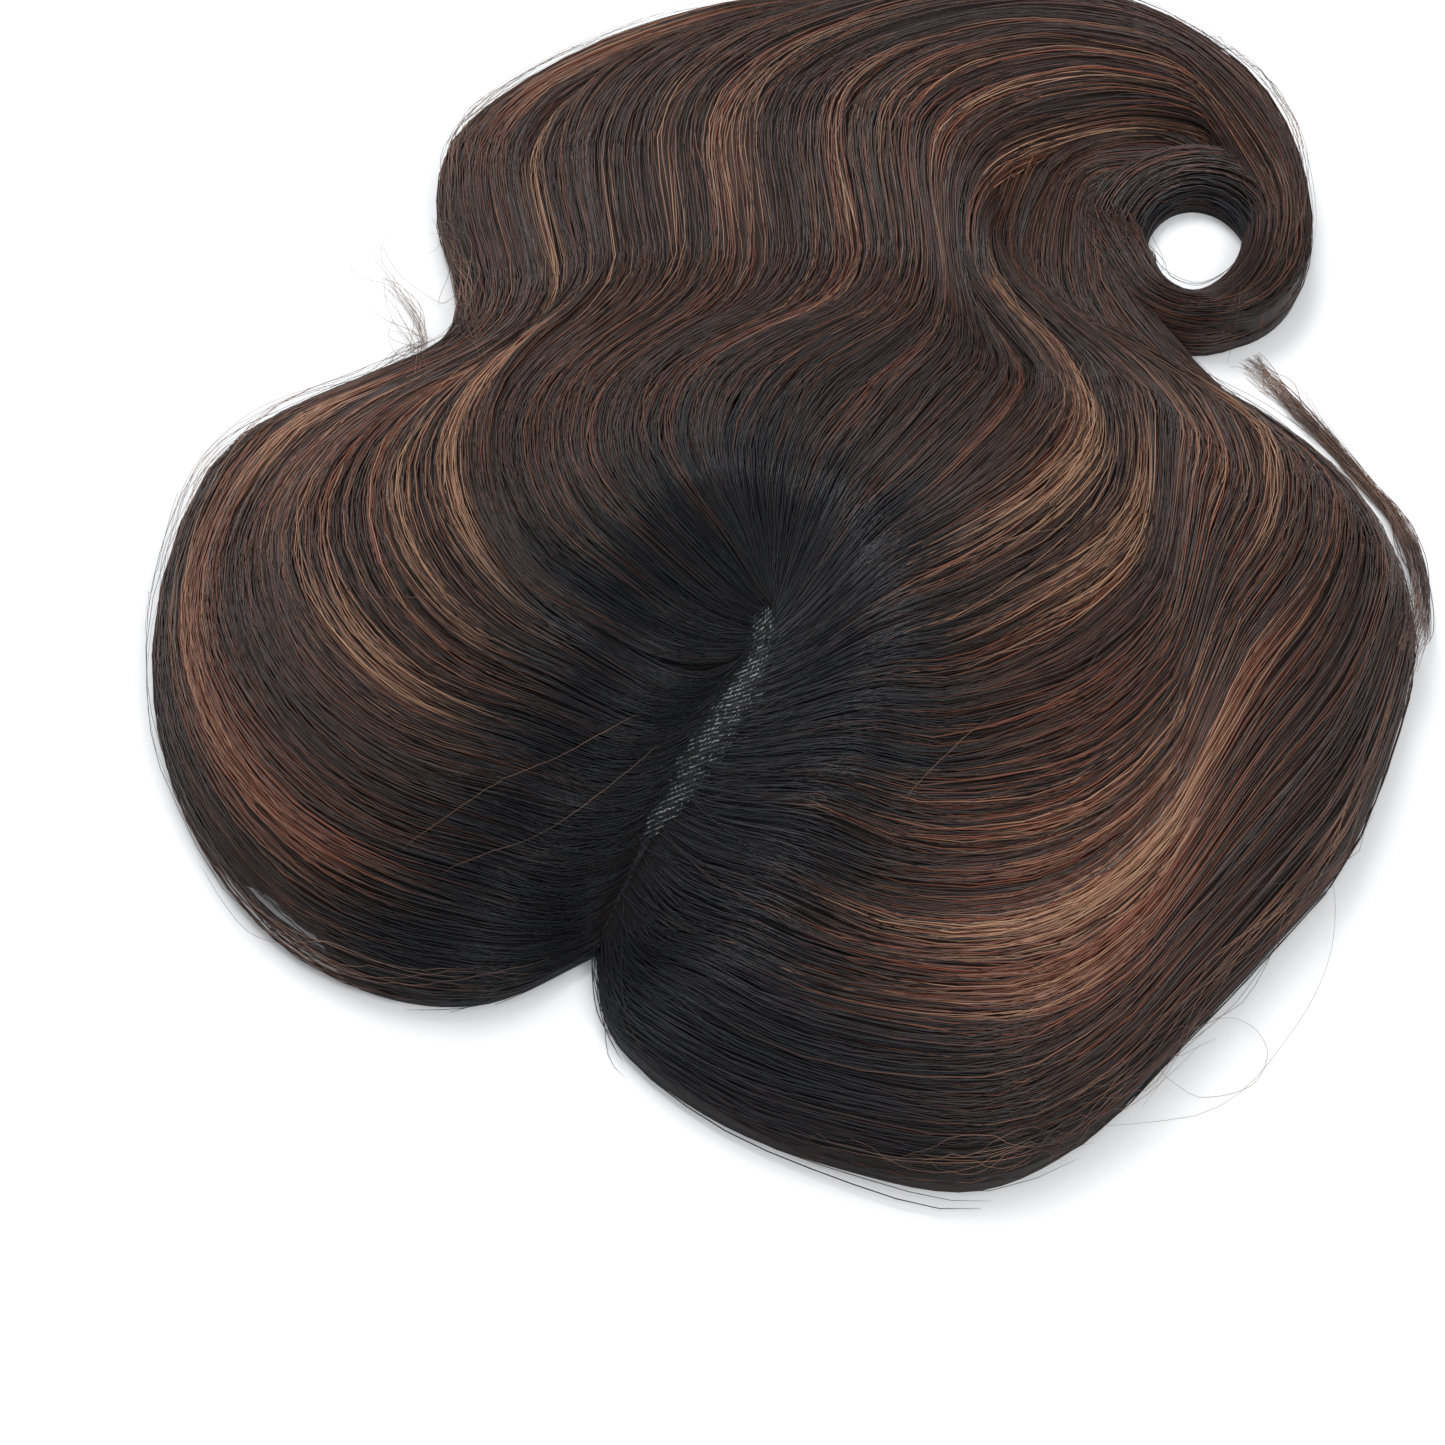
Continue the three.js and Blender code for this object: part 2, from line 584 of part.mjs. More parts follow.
const underBase = baseClearance();
const besideLeft = clearance(leftSheet, leftForm, hairGap);
const besideBack = clearance(backSheet, backForm, hairGap);
const besideRight = clearance(rightSheet, rightForm, hairGap);

const topper = new THREE.Group();
topper.add(named('base_cap', baseCap(), looks.net));
const lace = partingLace().subtract(besideLeft).subtract(besideBack).subtract(besideRight);
topper.add(named('parting_lace', toGeometry(lace), looks.lace));
const clipSides = [
  { name: 'clip_front', angle: Math.PI, out: capLength / 2, round: capWidth / 2 },
  { name: 'clip_back', angle: 0, out: capLength / 2, round: capWidth / 2 },
  { name: 'clip_left', angle: -Math.PI / 2, out: capWidth / 2, round: capLength / 2 },
  { name: 'clip_right', angle: Math.PI / 2, out: capWidth / 2, round: capLength / 2 },
];
for (const side of clipSides) {
  topper.add(named(side.name, snapClip(side), looks.clip));
}
const leftHair = hairSolid(leftSheet, leftForm).subtract(underBase).subtract(besideBack);
const backHair = hairSolid(backSheet, backForm).subtract(underBase);
const rightHair = hairSolid(rightSheet, rightForm).subtract(underBase).subtract(besideBack);
const looseHair = sideWisp().subtract(besideRight).subtract(besideBack);
topper.add(named('hair_left', toGeometry(leftHair), looks.hair));
topper.add(named('hair_back', toGeometry(backHair), looks.root));
topper.add(named('hair_right', toGeometry(rightHair), looks.hair));
topper.add(named('side_wisp', toGeometry(looseHair), looks.hair));

// The origin goes under the middle of the whole topper.
const middle = new THREE.Box3().setFromObject(topper).getCenter(new THREE.Vector3());
topper.position.set(-middle.x, -middle.y, 0);

export default topper;
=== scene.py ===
"""Hair topper laid out on a table: a domed net base with a lace part line, and long wavy brown hair with
caramel and copper streaks, swept back into one tail that ends in a flat curl.

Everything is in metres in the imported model's frame, with the table at z = 0 and the tail towards +Y.
"""
import math

import bpy
import bmesh
import numpy as np
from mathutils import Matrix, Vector


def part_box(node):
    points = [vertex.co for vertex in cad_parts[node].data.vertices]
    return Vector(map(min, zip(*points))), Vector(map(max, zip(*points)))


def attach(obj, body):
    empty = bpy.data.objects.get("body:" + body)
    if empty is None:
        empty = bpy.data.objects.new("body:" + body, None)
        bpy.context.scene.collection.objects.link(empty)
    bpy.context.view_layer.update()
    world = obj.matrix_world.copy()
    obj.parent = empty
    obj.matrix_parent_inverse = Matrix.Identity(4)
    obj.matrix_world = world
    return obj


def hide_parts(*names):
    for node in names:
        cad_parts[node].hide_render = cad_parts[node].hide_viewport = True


bl_info = {
    "name": "Hair topper",
    "version": (1, 0, 0),
    "blender": (4, 5, 0),
    "location": "View3D > Sidebar > Hair topper",
    "description": "Builds the strands, lace and stage of a hair topper round its packed model",
    "category": "Object",
}

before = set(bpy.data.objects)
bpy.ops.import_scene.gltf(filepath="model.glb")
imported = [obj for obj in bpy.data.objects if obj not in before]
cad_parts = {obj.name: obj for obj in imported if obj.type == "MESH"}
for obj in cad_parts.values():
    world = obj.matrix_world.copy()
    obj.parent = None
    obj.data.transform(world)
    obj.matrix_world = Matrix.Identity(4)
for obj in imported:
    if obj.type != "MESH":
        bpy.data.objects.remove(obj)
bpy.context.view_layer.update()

# The hair's plan: metres, and shares of the spread's width and depth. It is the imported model's plan, apart
# from a longer rise at the roots, sharper bends inside the right sheet, up to 6 mm less at that sheet's
# upper edge, and its ends, which keep clear of the curl's hole.
SPREAD = np.array([0.258, 0.322])
MAT_THICKNESS = 0.013
CROWN_HEIGHT = 0.042
CROWN_REACH = 0.9
EDGE_ROLL = 0.022
EDGE_THICKNESS = 0.0016
ROOT_RISE = 0.033
ROOT_COVER = 0.0008
HAIR_GAP = 0.00035

CAP_HALF = np.array([0.065, 0.060])
CAP_RISE = 0.027
RIM_HEIGHT = 0.003
CAP_TURN = math.radians(27)
CAP_CENTRE = SPREAD * (-0.05, -0.1475)

# Part line from the crown to the front notch: shares of the base's half length and half width, and half
# the width of the open slot.
PART_LINE = np.array([
    (0.06, 0.085, 0.0009),
    (-0.05, 0.137, 0.0018),
    (-0.18, 0.156, 0.0030),
    (-0.29, 0.155, 0.0028),
    (-0.4, 0.13, 0.0022),
    (-0.56, 0.11, 0.0020),
    (-0.7, 0.09, 0.0014),
    (-0.86, 0.066, 0.0007),
    (-1.02, 0.058, 0.0005),
])
LEFT_CROWN_END = 0.2
RIGHT_CROWN_END = 0.12
SLOT_END = (0.095, 0.075)
FLOW_STEP = 0.02

# Sections of each sheet of hair, from its outer to its inner edge, in the order in which the hair runs:
# places x, y as shares of the spread, then the thickness and how free the outer and inner edges are.
LEFT_SECTIONS = [
    (-0.235, -0.368, -0.16, -0.265, -0.09, -0.205, 1.0, 1, 0),
    (-0.318, -0.36, -0.237, -0.245, -0.15, -0.185, 1.1, 1, 0),
    (-0.398, -0.316, -0.312, -0.2, -0.196, -0.14, 1.15, 1, 0),
    (-0.462, -0.237, -0.371, -0.136, -0.236, -0.062, 1.2, 1, 0),
    (-0.497, -0.144, -0.4, -0.063, -0.251, 0.013, 1.2, 1, 0),
    (-0.498, -0.043, -0.386, 0.002, -0.243, 0.068, 1.15, 1, 0),
    (-0.463, 0.051, -0.338, 0.056, -0.216, 0.115, 1.05, 1, 0),
    (-0.37, 0.106, -0.28, 0.093, -0.185, 0.147, 0.95, 1, 0),
    (-0.294, 0.148, -0.229, 0.131, -0.162, 0.18, 0.9, 1, 0),
    (-0.28, 0.2, -0.208, 0.174, -0.16, 0.214, 0.95, 1, 0),
    (-0.3, 0.267, -0.223, 0.235, -0.171, 0.266, 1.1, 1, 0),
    (-0.294, 0.335, -0.231, 0.291, -0.171, 0.31, 1.2, 1, 0),
    (-0.241, 0.391, -0.199, 0.353, -0.142, 0.363, 1.15, 1, 0),
    (-0.159, 0.444, -0.123, 0.403, -0.079, 0.406, 1.0, 1, 0),
    (-0.053, 0.485, -0.036, 0.452, -0.005, 0.445, 0.8, 1, 0),
    (0.04, 0.499, 0.046, 0.49, 0.054, 0.482, 0.4, 1, 0),
]

BACK_SECTIONS = [
    (-0.12, -0.19, -0.043, -0.098, 0.033, -0.138, 1.0, 0, 0),
    (-0.203, -0.138, -0.068, -0.06, 0.102, -0.08, 1.0, 0, 0),
    (-0.248, -0.041, -0.073, 0.0, 0.162, -0.002, 1.05, 0, 0),
    (-0.26, 0.035, -0.054, 0.071, 0.2, 0.046, 1.05, 0, 0),
    (-0.239, 0.092, -0.005, 0.119, 0.208, 0.08, 1.0, 0, 0),
    (-0.191, 0.147, 0.046, 0.151, 0.184, 0.12, 0.95, 0, 0),
    (-0.168, 0.193, 0.071, 0.195, 0.16, 0.161, 0.95, 0, 0),
    (-0.177, 0.251, 0.068, 0.246, 0.154, 0.21, 1.1, 0, 0),
    (-0.181, 0.315, 0.061, 0.3, 0.162, 0.253, 1.25, 0, 0.3),
    (-0.148, 0.373, 0.071, 0.347, 0.186, 0.291, 1.3, 0, 0.7),
    (-0.071, 0.425, 0.12, 0.387, 0.23, 0.317, 1.3, 0.2, 1),
    (0.055, 0.476, 0.199, 0.411, 0.28, 0.332, 1.25, 0.8, 1),
    (0.198, 0.495, 0.264, 0.408, 0.323, 0.338, 1.25, 1, 1),
    (0.312, 0.465, 0.335, 0.385, 0.363, 0.33, 1.3, 1, 1),
    (0.4, 0.4, 0.383, 0.33, 0.379, 0.298, 1.3, 1, 1),
    (0.436, 0.318, 0.411, 0.275, 0.386, 0.262, 1.25, 1, 1),
    (0.436, 0.241, 0.407, 0.226, 0.378, 0.232, 1.2, 1, 1),
    (0.405, 0.182, 0.381, 0.184, 0.357, 0.207, 1.15, 1, 1),
    (0.341, 0.153, 0.337, 0.168, 0.334, 0.196, 1.1, 1, 1),
    (0.284, 0.169, 0.295, 0.184, 0.312, 0.208, 1.05, 1, 1),
    (0.245, 0.213, 0.272, 0.22, 0.301, 0.234, 0.95, 1, 1),
    (0.223, 0.26, 0.255, 0.262, 0.294, 0.266, 0.75, 1, 1),
]

# The right sheet is wider, so its sections have four places.
RIGHT_SECTIONS = [
    (-0.138, -0.395, -0.035, -0.31, 0.032, -0.22, 0.028, -0.135, 1.0, 1, 0),
    (-0.065, -0.449, 0.042, -0.34, 0.104, -0.213, 0.084, -0.088, 1.1, 1, 0),
    (0.027, -0.482, 0.13, -0.342, 0.174, -0.175, 0.137, -0.024, 1.15, 1, 0),
    (0.119, -0.496, 0.204, -0.319, 0.227, -0.136, 0.176, 0.023, 1.2, 1, 0),
    (0.199, -0.463, 0.267, -0.266, 0.271, -0.084, 0.196, 0.055, 1.2, 1, 0),
    (0.264, -0.406, 0.304, -0.204, 0.288, -0.03, 0.201, 0.08, 1.2, 1, 0),
    (0.34, -0.336, 0.338, -0.145, 0.296, 0.018, 0.191, 0.101, 1.2, 1, 0),
    (0.407, -0.267, 0.385, -0.088, 0.298, 0.056, 0.178, 0.122, 1.2, 1, 0),
    (0.454, -0.179, 0.41, -0.036, 0.274, 0.092, 0.166, 0.142, 1.15, 1, 0),
    (0.479, -0.104, 0.411, 0.013, 0.252, 0.12, 0.156, 0.163, 1.05, 1, 0),
    (0.467, -0.024, 0.366, 0.058, 0.225, 0.147, 0.148, 0.188, 1.0, 1, 0),
    (0.415, 0.041, 0.311, 0.097, 0.206, 0.17, 0.146, 0.212, 0.95, 1, 0),
    (0.359, 0.092, 0.257, 0.128, 0.191, 0.194, 0.151, 0.242, 0.85, 1, 0),
    (0.29, 0.185, 0.232, 0.185, 0.189, 0.232, 0.162, 0.266, 0.7, 0.6, 0),
    (0.265, 0.251, 0.241, 0.273, 0.213, 0.299, 0.184, 0.328, 0.55, 0.6, 0),
    (0.273, 0.277, 0.263, 0.303, 0.245, 0.328, 0.216, 0.351, 0.5, 1, 0),
    (0.301, 0.278, 0.295, 0.306, 0.28, 0.34, 0.256, 0.367, 0.5, 1, 0),
    (0.334, 0.288, 0.334, 0.31, 0.326, 0.342, 0.305, 0.375, 0.5, 1, 0),
    (0.36, 0.285, 0.362, 0.298, 0.362, 0.318, 0.352, 0.346, 0.5, 1, 0),
    (0.372, 0.278, 0.372, 0.283, 0.372, 0.291, 0.369, 0.301, 0.4, 1, 0),
]

# How far the guides of the strands, and the flow coordinates on them, reach past a sheet's edges and ends,
# in shares.
GUIDE_PAD = 0.06
FLOW_PAD = 0.1
GUIDE_ROWS = 150
GUIDE_COLUMNS = 150

# The dark roots: how far from the part they start to fade and over which length they do.
ROOT_DARK = 0.014
ROOT_FADE = 0.052

# Shares of caramel and copper strands where no patch lies.
CARAMEL_SHARE = 0.07
COPPER_SHARE = 0.17

# Patches of lighter hair: the sheet, their middle in shares across and along it, how far they reach
# each way, and the shares of caramel and copper strands in them.
LIGHT_PATCHES = [
    ("left", 0.15, 0.2, 0.06, 0.08, 0.25, 0.75),
    ("left", 0.18, 0.32, 0.06, 0.1, 0.4, 0.5),
    ("left", 0.32, 0.44, 0.12, 0.05, 0.35, 0.4),
    ("left", 0.57, 0.22, 0.07, 0.09, 0.4, 0.1),
    ("left", 0.77, 0.28, 0.06, 0.13, 0.55, 0.15),
    ("left", 0.91, 0.3, 0.05, 0.11, 0.5, 0.1),
    ("left", 0.75, 0.48, 0.15, 0.07, 0.4, 0.25),
    ("left", 0.57, 0.7, 0.09, 0.14, 0.5, 0.2),
    ("left", 0.3, 0.85, 0.15, 0.1, 0.3, 0.3),
    ("back", 0.07, 0.32, 0.05, 0.1, 0.4, 0.2),
    ("back", 0.18, 0.4, 0.03, 0.09, 0.4, 0.1),
    ("back", 0.27, 0.4, 0.04, 0.1, 0.35, 0.25),
    ("back", 0.44, 0.36, 0.05, 0.15, 0.35, 0.3),
    ("back", 0.55, 0.48, 0.05, 0.11, 0.24, 0.18),
    ("back", 0.72, 0.5, 0.05, 0.12, 0.2, 0.18),
    ("back", 0.55, 0.68, 0.12, 0.12, 0.24, 0.22),
    ("back", 0.96, 0.56, 0.06, 0.13, 0.6, 0.25),
    ("right", 0.92, 0.45, 0.05, 0.25, 0.6, 0.2),
    ("right", 0.8, 0.85, 0.12, 0.1, 0.55, 0.15),
    ("right", 0.83, 0.24, 0.05, 0.13, 0.55, 0.1),
    ("right", 0.74, 0.24, 0.04, 0.12, 0.5, 0.1),
    ("right", 0.2, 0.2, 0.05, 0.08, 0.25, 0.6),
    ("right", 0.3, 0.24, 0.04, 0.1, 0.35, 0.25),
    ("right", 0.33, 0.34, 0.04, 0.05, 0.2, 0.5),
    ("right", 0.42, 0.48, 0.08, 0.1, 0.35, 0.35),
    ("right", 0.36, 0.26, 0.12, 0.06, 0.25, 0.35),
    ("right", 0.17, 0.27, 0.1, 0.07, 0.15, 0.35),
    ("right", 0.4, 0.17, 0.12, 0.05, 0.2, 0.4),
    ("right", 0.54, 0.4, 0.1, 0.07, 0.25, 0.35),
    ("left", 0.88, 0.42, 0.12, 0.08, 0.3, 0.3),
    ("left", 0.5, 0.38, 0.16, 0.06, 0.25, 0.35),
]

# Patches of darker hair, and of painted shade in the hollow round the curl's hole: the sheet, their middle
# in shares across and along it, how far they reach each way, and how much of the roots' colour they have.
DARK_HAIR_AND_SHADE_PATCHES = [
    ("right", 0.08, 0.12, 0.16, 0.1, 0.7),
    ("right", 0.02, 0.3, 0.05, 0.12, 0.4),
    ("right", 0.12, 0.34, 0.05, 0.04, 0.3),
    # Painted shade: the right sheet's ends, which lie in the hollow over the curl's hole.
    ("right", 0.5, 0.95, 0.7, 0.1, 0.4),
    ("left", 0.15, 0.08, 0.2, 0.07, 0.6),
    ("left", 0.02, 0.35, 0.04, 0.15, 0.35),
    ("back", 0.55, 0.2, 0.25, 0.09, 0.45),
    # Painted shade: the curl's inner wall at the right of its hole.
    ("back", 0.92, 0.75, 0.14, 0.15, 0.4),
    ("back", 0.5, 0.56, 0.3, 0.14, 0.12),
]

# Sections of the inner turn of the end curl, which only the strands and their mass have: the middle of the
# curl's hole, half its width and depth as shares of the spread, then how wide the turn is.
CURL_MIDDLE = np.array([0.344, 0.236])
CURL_HALF = np.array([0.041, 0.0475])
CURL_BAND = 0.010
CURL_TURN_FROM = math.radians(195)
CURL_TURN_TO = math.radians(-185)
CURL_TURN_SECTIONS = 20

# Single loose hairs: places as shares of the spread, and how far each rises over what lies under it.
LOOSE_HAIRS = [
    ([(0.073, -0.286), (0.135, -0.232), (0.2, -0.196), (0.236, -0.14)], 0.003),
    ([(-0.293, -0.303), (-0.23, -0.276), (-0.176, -0.26), (-0.12, -0.232)], 0.0025),
    ([(-0.262, -0.32), (-0.2, -0.303), (-0.147, -0.274), (-0.105, -0.243)], 0.0025),
    ([(0.285, -0.39), (0.32, -0.382), (0.335, -0.403), (0.32, -0.427), (0.283, -0.434),
      (0.245, -0.424)], 0.0015),
    ([(0.373, -0.283), (0.394, -0.3), (0.385, -0.343), (0.352, -0.392), (0.297, -0.44),
      (0.2, -0.464)], 0.0015),
    ([(0.36, 0.146), (0.366, 0.162), (0.37, 0.187)], 0.003),
    ([(-0.29, 0.194), (-0.33, 0.222), (-0.35, 0.255)], 0.0012),
    ([(-0.3, 0.11), (-0.323, 0.175), (-0.348, 0.212)], 0.0012),
    ([(-0.5, 0.033), (-0.506, -0.01), (-0.51, -0.06), (-0.51, -0.1)], 0.0012),
    ([(-0.355, -0.118), (-0.303, -0.131), (-0.248, -0.145)], 0.004),
]

# Locks of fine hairs: how many, then rows with their middle line as shares of the spread and how far the
# hairs stray from it in metres. The first piece is the loose lock at the right, in two bundles, and the
# other holds the hairs at the edges.
HAIR_FANS = {
    "side_wisp_hairs": [
        (70, [
            (0.376, 0.15, 0.0026), (0.389, 0.134, 0.0028), (0.404, 0.115, 0.0024), (0.433, 0.076, 0.0012),
            (0.461, 0.036, 0.0008), (0.479, 0.007, 0.0009), (0.488, -0.022, 0.0013), (0.488, -0.06, 0.0015),
            (0.478, -0.1, 0.0015), (0.462, -0.134, 0.0015),
        ]),
        (50, [
            (0.418, 0.102, 0.0022), (0.44, 0.069, 0.0012), (0.463, 0.035, 0.0009), (0.484, 0.003, 0.0008),
            (0.495, -0.032, 0.0009), (0.494, -0.066, 0.001), (0.485, -0.1, 0.0011), (0.468, -0.135, 0.0012),
        ]),
    ],
    "edge_hairs": [
        (12, [(-0.31, 0.09, 0.002), (-0.307, 0.145, 0.0008), (-0.313, 0.18, 0.0012), (-0.334, 0.207, 0.002),
              (-0.355, 0.228, 0.0035), (-0.376, 0.251, 0.005)]),
        (16, [(-0.25, 0.1, 0.002), (-0.268, 0.15, 0.002), (-0.276, 0.195, 0.0022), (-0.29, 0.235, 0.0025),
              (-0.302, 0.268, 0.003)]),
        (12, [(-0.38, 0.078, 0.0015), (-0.338, 0.1, 0.002), (-0.322, 0.126, 0.003), (-0.32, 0.153, 0.003),
              (-0.332, 0.185, 0.003), (-0.356, 0.221, 0.004)]),
        (18, [(0.452, -0.16, 0.0012), (0.427, -0.222, 0.0016), (0.398, -0.272, 0.0018),
              (0.351, -0.325, 0.002), (0.296, -0.378, 0.002), (0.236, -0.43, 0.0018),
              (0.186, -0.462, 0.0015)]),
        (10, [(0.3, -0.385, 0.0012), (0.21, -0.46, 0.0012), (0.165, -0.483, 0.0012), (0.115, -0.493, 0.0012),
              (0.06, -0.491, 0.001), (0.0, -0.474, 0.001)]),
        (12, [(-0.488, -0.12, 0.0012), (-0.491, -0.034, 0.0018), (-0.473, 0.024, 0.0022),
              (-0.42, 0.065, 0.0024), (-0.361, 0.093, 0.0024), (-0.3, 0.135, 0.002)]),
        (5, [(-0.449, -0.268, 0.0008), (-0.403, -0.318, 0.001), (-0.344, -0.353, 0.0012),
             (-0.279, -0.37, 0.001), (-0.21, -0.363, 0.001), (-0.166, -0.341, 0.0008)]),
        (12, [(-0.283, 0.22, 0.0012), (-0.289, 0.262, 0.0018), (-0.286, 0.319, 0.002), (-0.26, 0.367, 0.0022),
              (-0.204, 0.415, 0.0024), (-0.134, 0.45, 0.002)]),
        (12, [(0.291, 0.466, 0.0014), (0.355, 0.442, 0.0018), (0.407, 0.39, 0.0018), (0.43, 0.317, 0.002),
              (0.427, 0.247, 0.002), (0.401, 0.184, 0.0018)]),
    ],
}

# The strand pieces: the sheet, the ranges across and along it, how many strands, how many of them start at
# the roots for each one that starts further on, the range of lengths along the sheet, and a seed.
STRAND_PIECES = {
    "left_strands_outer": ("left", (-0.012, 0.5), (0.0, 1.0), 1190, 0.35, (0.22, 0.45), 11),
    "left_strands_inner": ("left", (0.42, 1.05), (0.0, 1.0), 1190, 0.45, (0.22, 0.45), 12),
    "crown_strands_left": ("back", (-0.05, 0.52), (0.0, 0.5), 1260, 0.8, (0.18, 0.36), 21),
    "crown_strands_right": ("back", (0.48, 1.05), (0.0, 0.5), 1260, 0.8, (0.18, 0.36), 22),
    "curl_strands": ("back", (-0.02, 1.01), (0.42, 1.0), 1210, 0.0, (0.1, 0.24), 23),
    "curl_inner_strands": ("curl", (0.02, 1.02), (0.0, 1.0), 420, 0.1, (0.25, 0.7), 24),
    "right_strands_outer": ("right", (0.0, 0.34), (0.0, 1.0), 1170, 0.4, (0.2, 0.4), 31),
    "right_strands_middle": ("right", (0.3, 0.68), (0.0, 1.0), 1170, 0.4, (0.2, 0.4), 32),
    "right_strands_inner": ("right", (0.64, 1.05), (0.0, 1.0), 1170, 0.4, (0.2, 0.4), 33),
    "left_root_strands": ("left", (-0.02, 1.05), (-0.012, 1.0), 230, 50.0, (0.04, 0.12), 61),
    "back_root_strands": ("back", (-0.04, 1.04), (-0.01, 1.0), 120, 50.0, (0.04, 0.1), 62),
    "right_root_strands": ("right", (-0.02, 1.05), (-0.012, 1.0), 230, 50.0, (0.04, 0.12), 63),
    "left_flyaways": ("left", (0.04, 1.0), (0.0, 1.0), 92, 0.3, (0.2, 0.5), 51),
    "back_flyaways": ("back", (0.08, 0.86), (0.0, 1.0), 92, 0.3, (0.15, 0.4), 52),
    "right_flyaways": ("right", (0.04, 1.0), (0.0, 0.8), 110, 0.3, (0.2, 0.5), 53),
}

# How the fly-away hairs and the short hairs at the roots differ from the other strands.
FLYAWAY_HABITS = {
    "Segments": 20, "Drift": 0.06, "Wobble": 0.1, "Lock Pull": 0.0, "Layer Depth": 0.0036, "Radius": 0.00006,
}
ROOT_HABITS = {"Drift": 0.06, "Wobble": 0.05, "Layer Depth": 0.0016, "Sink": 0.0, "Radius": 0.00009}
HABITS = {"flyaways": FLYAWAY_HABITS, "root_strands": ROOT_HABITS}

# Steps that spread numbered strands evenly across and along a sheet.
EVEN_ACROSS = 0.7548776662
EVEN_ALONG = 0.569840291

# How many faces the mass of each sheet has across and along it, how far it lies under the strands' tops,
# and where it ends along the sheet.
BODY_GRIDS = {"left": (60, 112), "back": (60, 112), "right": (60, 112), "curl": (14, 60)}
BODY_INSET = 0.0009
BODY_END = 0.985

# The slit that shows the table under a thin outer lock of the left lobe: its middle and how far it reaches
# each way, in shares across and along the sheet, and how far the mass draws back there.
SLIT_MIDDLE = (0.062, 0.182)
SLIT_REACH = (0.03, 0.034)
SLIT_DEPTH = 0.1

# The mass keeps back from a sheet's free edges and meets its neighbours elsewhere, in shares across it.
FREE_MARGIN = 0.004
SEAM_MARGIN = -0.02

# Where the mass starts along the hair: back from the lace, and over the slot where the part is closed.
ROOT_START = 0.009
ROOT_OVERLAP = -0.0028

# The lace: its ends as shares of the part, how far it reaches under the hair, its height over the dome, its
# thickness, how many places its ground has each way, and how far its threads turn from the part's way.
LACE_START = -0.03
LACE_END = 0.76
LACE_MARGIN = 0.0021
LACE_RISE = 0.0003
LACE_THICKNESS = 0.0003
LACE_ROWS = 60
LACE_COLUMNS = 9
THREAD_TURN = math.radians(-22)

# Points along one loose hair, and how far from it the hair's top is looked for.
LOOSE_STEPS = 26
TOP_REACH = 0.003

# The camera's lens and film width in millimetres and the point that it looks at, the colour of the even
# light, and the soft boxes: their place, size and power.
LENS = 100
FILM_WIDTH = 36
CAMERA_TARGET = (-0.0152, -0.05085, 0)
SKY = (0.97, 0.985, 1.0, 1.0)
SOFT_BOXES = {
    "window_light": ((-0.35, 0.8, 1.15), 0.9, 12.0),
    "front_light": ((0.75, -0.7, 1.2), 0.8, 8.0),
}


def smooth_along(rows, t):
    """Smooth values at t (0 to 1) through evenly spaced rows. Rows are (count, places, 2), and each place
    has its own t."""
    last = len(rows) - 1
    share = np.clip(t, 0, 1) * last
    i = np.minimum(share.astype(int), last - 1)
    f = (share - i)[:, None]
    place = np.arange(len(t))
    a = rows[np.maximum(i - 1, 0), place]
    b = rows[i, place]
    c = rows[i + 1, place]
    d = rows[np.minimum(i + 2, last), place]
    bend = 2 * a - 5 * b + 4 * c - d
    twist = 3 * b - a - 3 * c + d
    return 0.5 * (2 * b + (c - a) * f + bend * f ** 2 + twist * f ** 3)


def smooth_values(values, t):
    """Smooth values at t through evenly spaced single values or places."""
    values = np.asarray(values, float)
    rows = values.reshape(len(values), 1, -1).repeat(len(t), axis=1)
    return smooth_along(rows, t)


def smooth_step(t):
    t = np.clip(t, 0, 1)
    return t * t * (3 - 2 * t)


def on_base(along, across):
    """Plan places on the base, from shares of its half length and half width."""
    a = along * CAP_HALF[0]
    b = across * CAP_HALF[1]
    x = CAP_CENTRE[0] + a * math.sin(CAP_TURN) + b * math.cos(CAP_TURN)
    y = CAP_CENTRE[1] + a * math.cos(CAP_TURN) - b * math.sin(CAP_TURN)
    return np.stack([x, y], axis=-1)


def base_radius(places):
    """How far out on the base plan places lie: 0 in its middle, 1 at its rim."""
    dx, dy = (places - CAP_CENTRE).T
    along = dx * math.sin(CAP_TURN) + dy * math.cos(CAP_TURN)
    across = dx * math.cos(CAP_TURN) - dy * math.sin(CAP_TURN)
    return np.hypot(along / CAP_HALF[0], across / CAP_HALF[1])


def base_top(places):
    r = np.minimum(base_radius(places), 1)
    return RIM_HEIGHT + CAP_RISE * (1 - r * r)


def part_middle(t):
    along, across = smooth_values(PART_LINE[:, :2], t).T
    return on_base(along, across)


def part_frame(t):
    """Middle places of the part, the way along it and the way across it, at shares t of the part."""
    middle = part_middle(t)
    flow = part_middle(t + FLOW_STEP) - part_middle(t - FLOW_STEP)
    flow /= np.linalg.norm(flow, axis=1)[:, None]
    return middle, flow, np.stack([-flow[:, 1], flow[:, 0]], axis=1)


def part_bank(t, side):
    """Places on a bank of the part, t from 0 at the crown to 1 at the notch. Side is -1 left, +1 right."""
    t = np.asarray(t, float)
    middle, _, across = part_frame(t)
    return middle + side * smooth_values(PART_LINE[:, 2], t) * across


def part_section(side, count, crown_end):
    return part_bank(np.linspace(1, crown_end, count), side)


def crown_section():
    end = on_base(np.array([SLOT_END[0]]), np.array([SLOT_END[1]]))
    return np.concatenate([part_bank([LEFT_CROWN_END], -1), end, part_bank([RIGHT_CROWN_END], 1)])


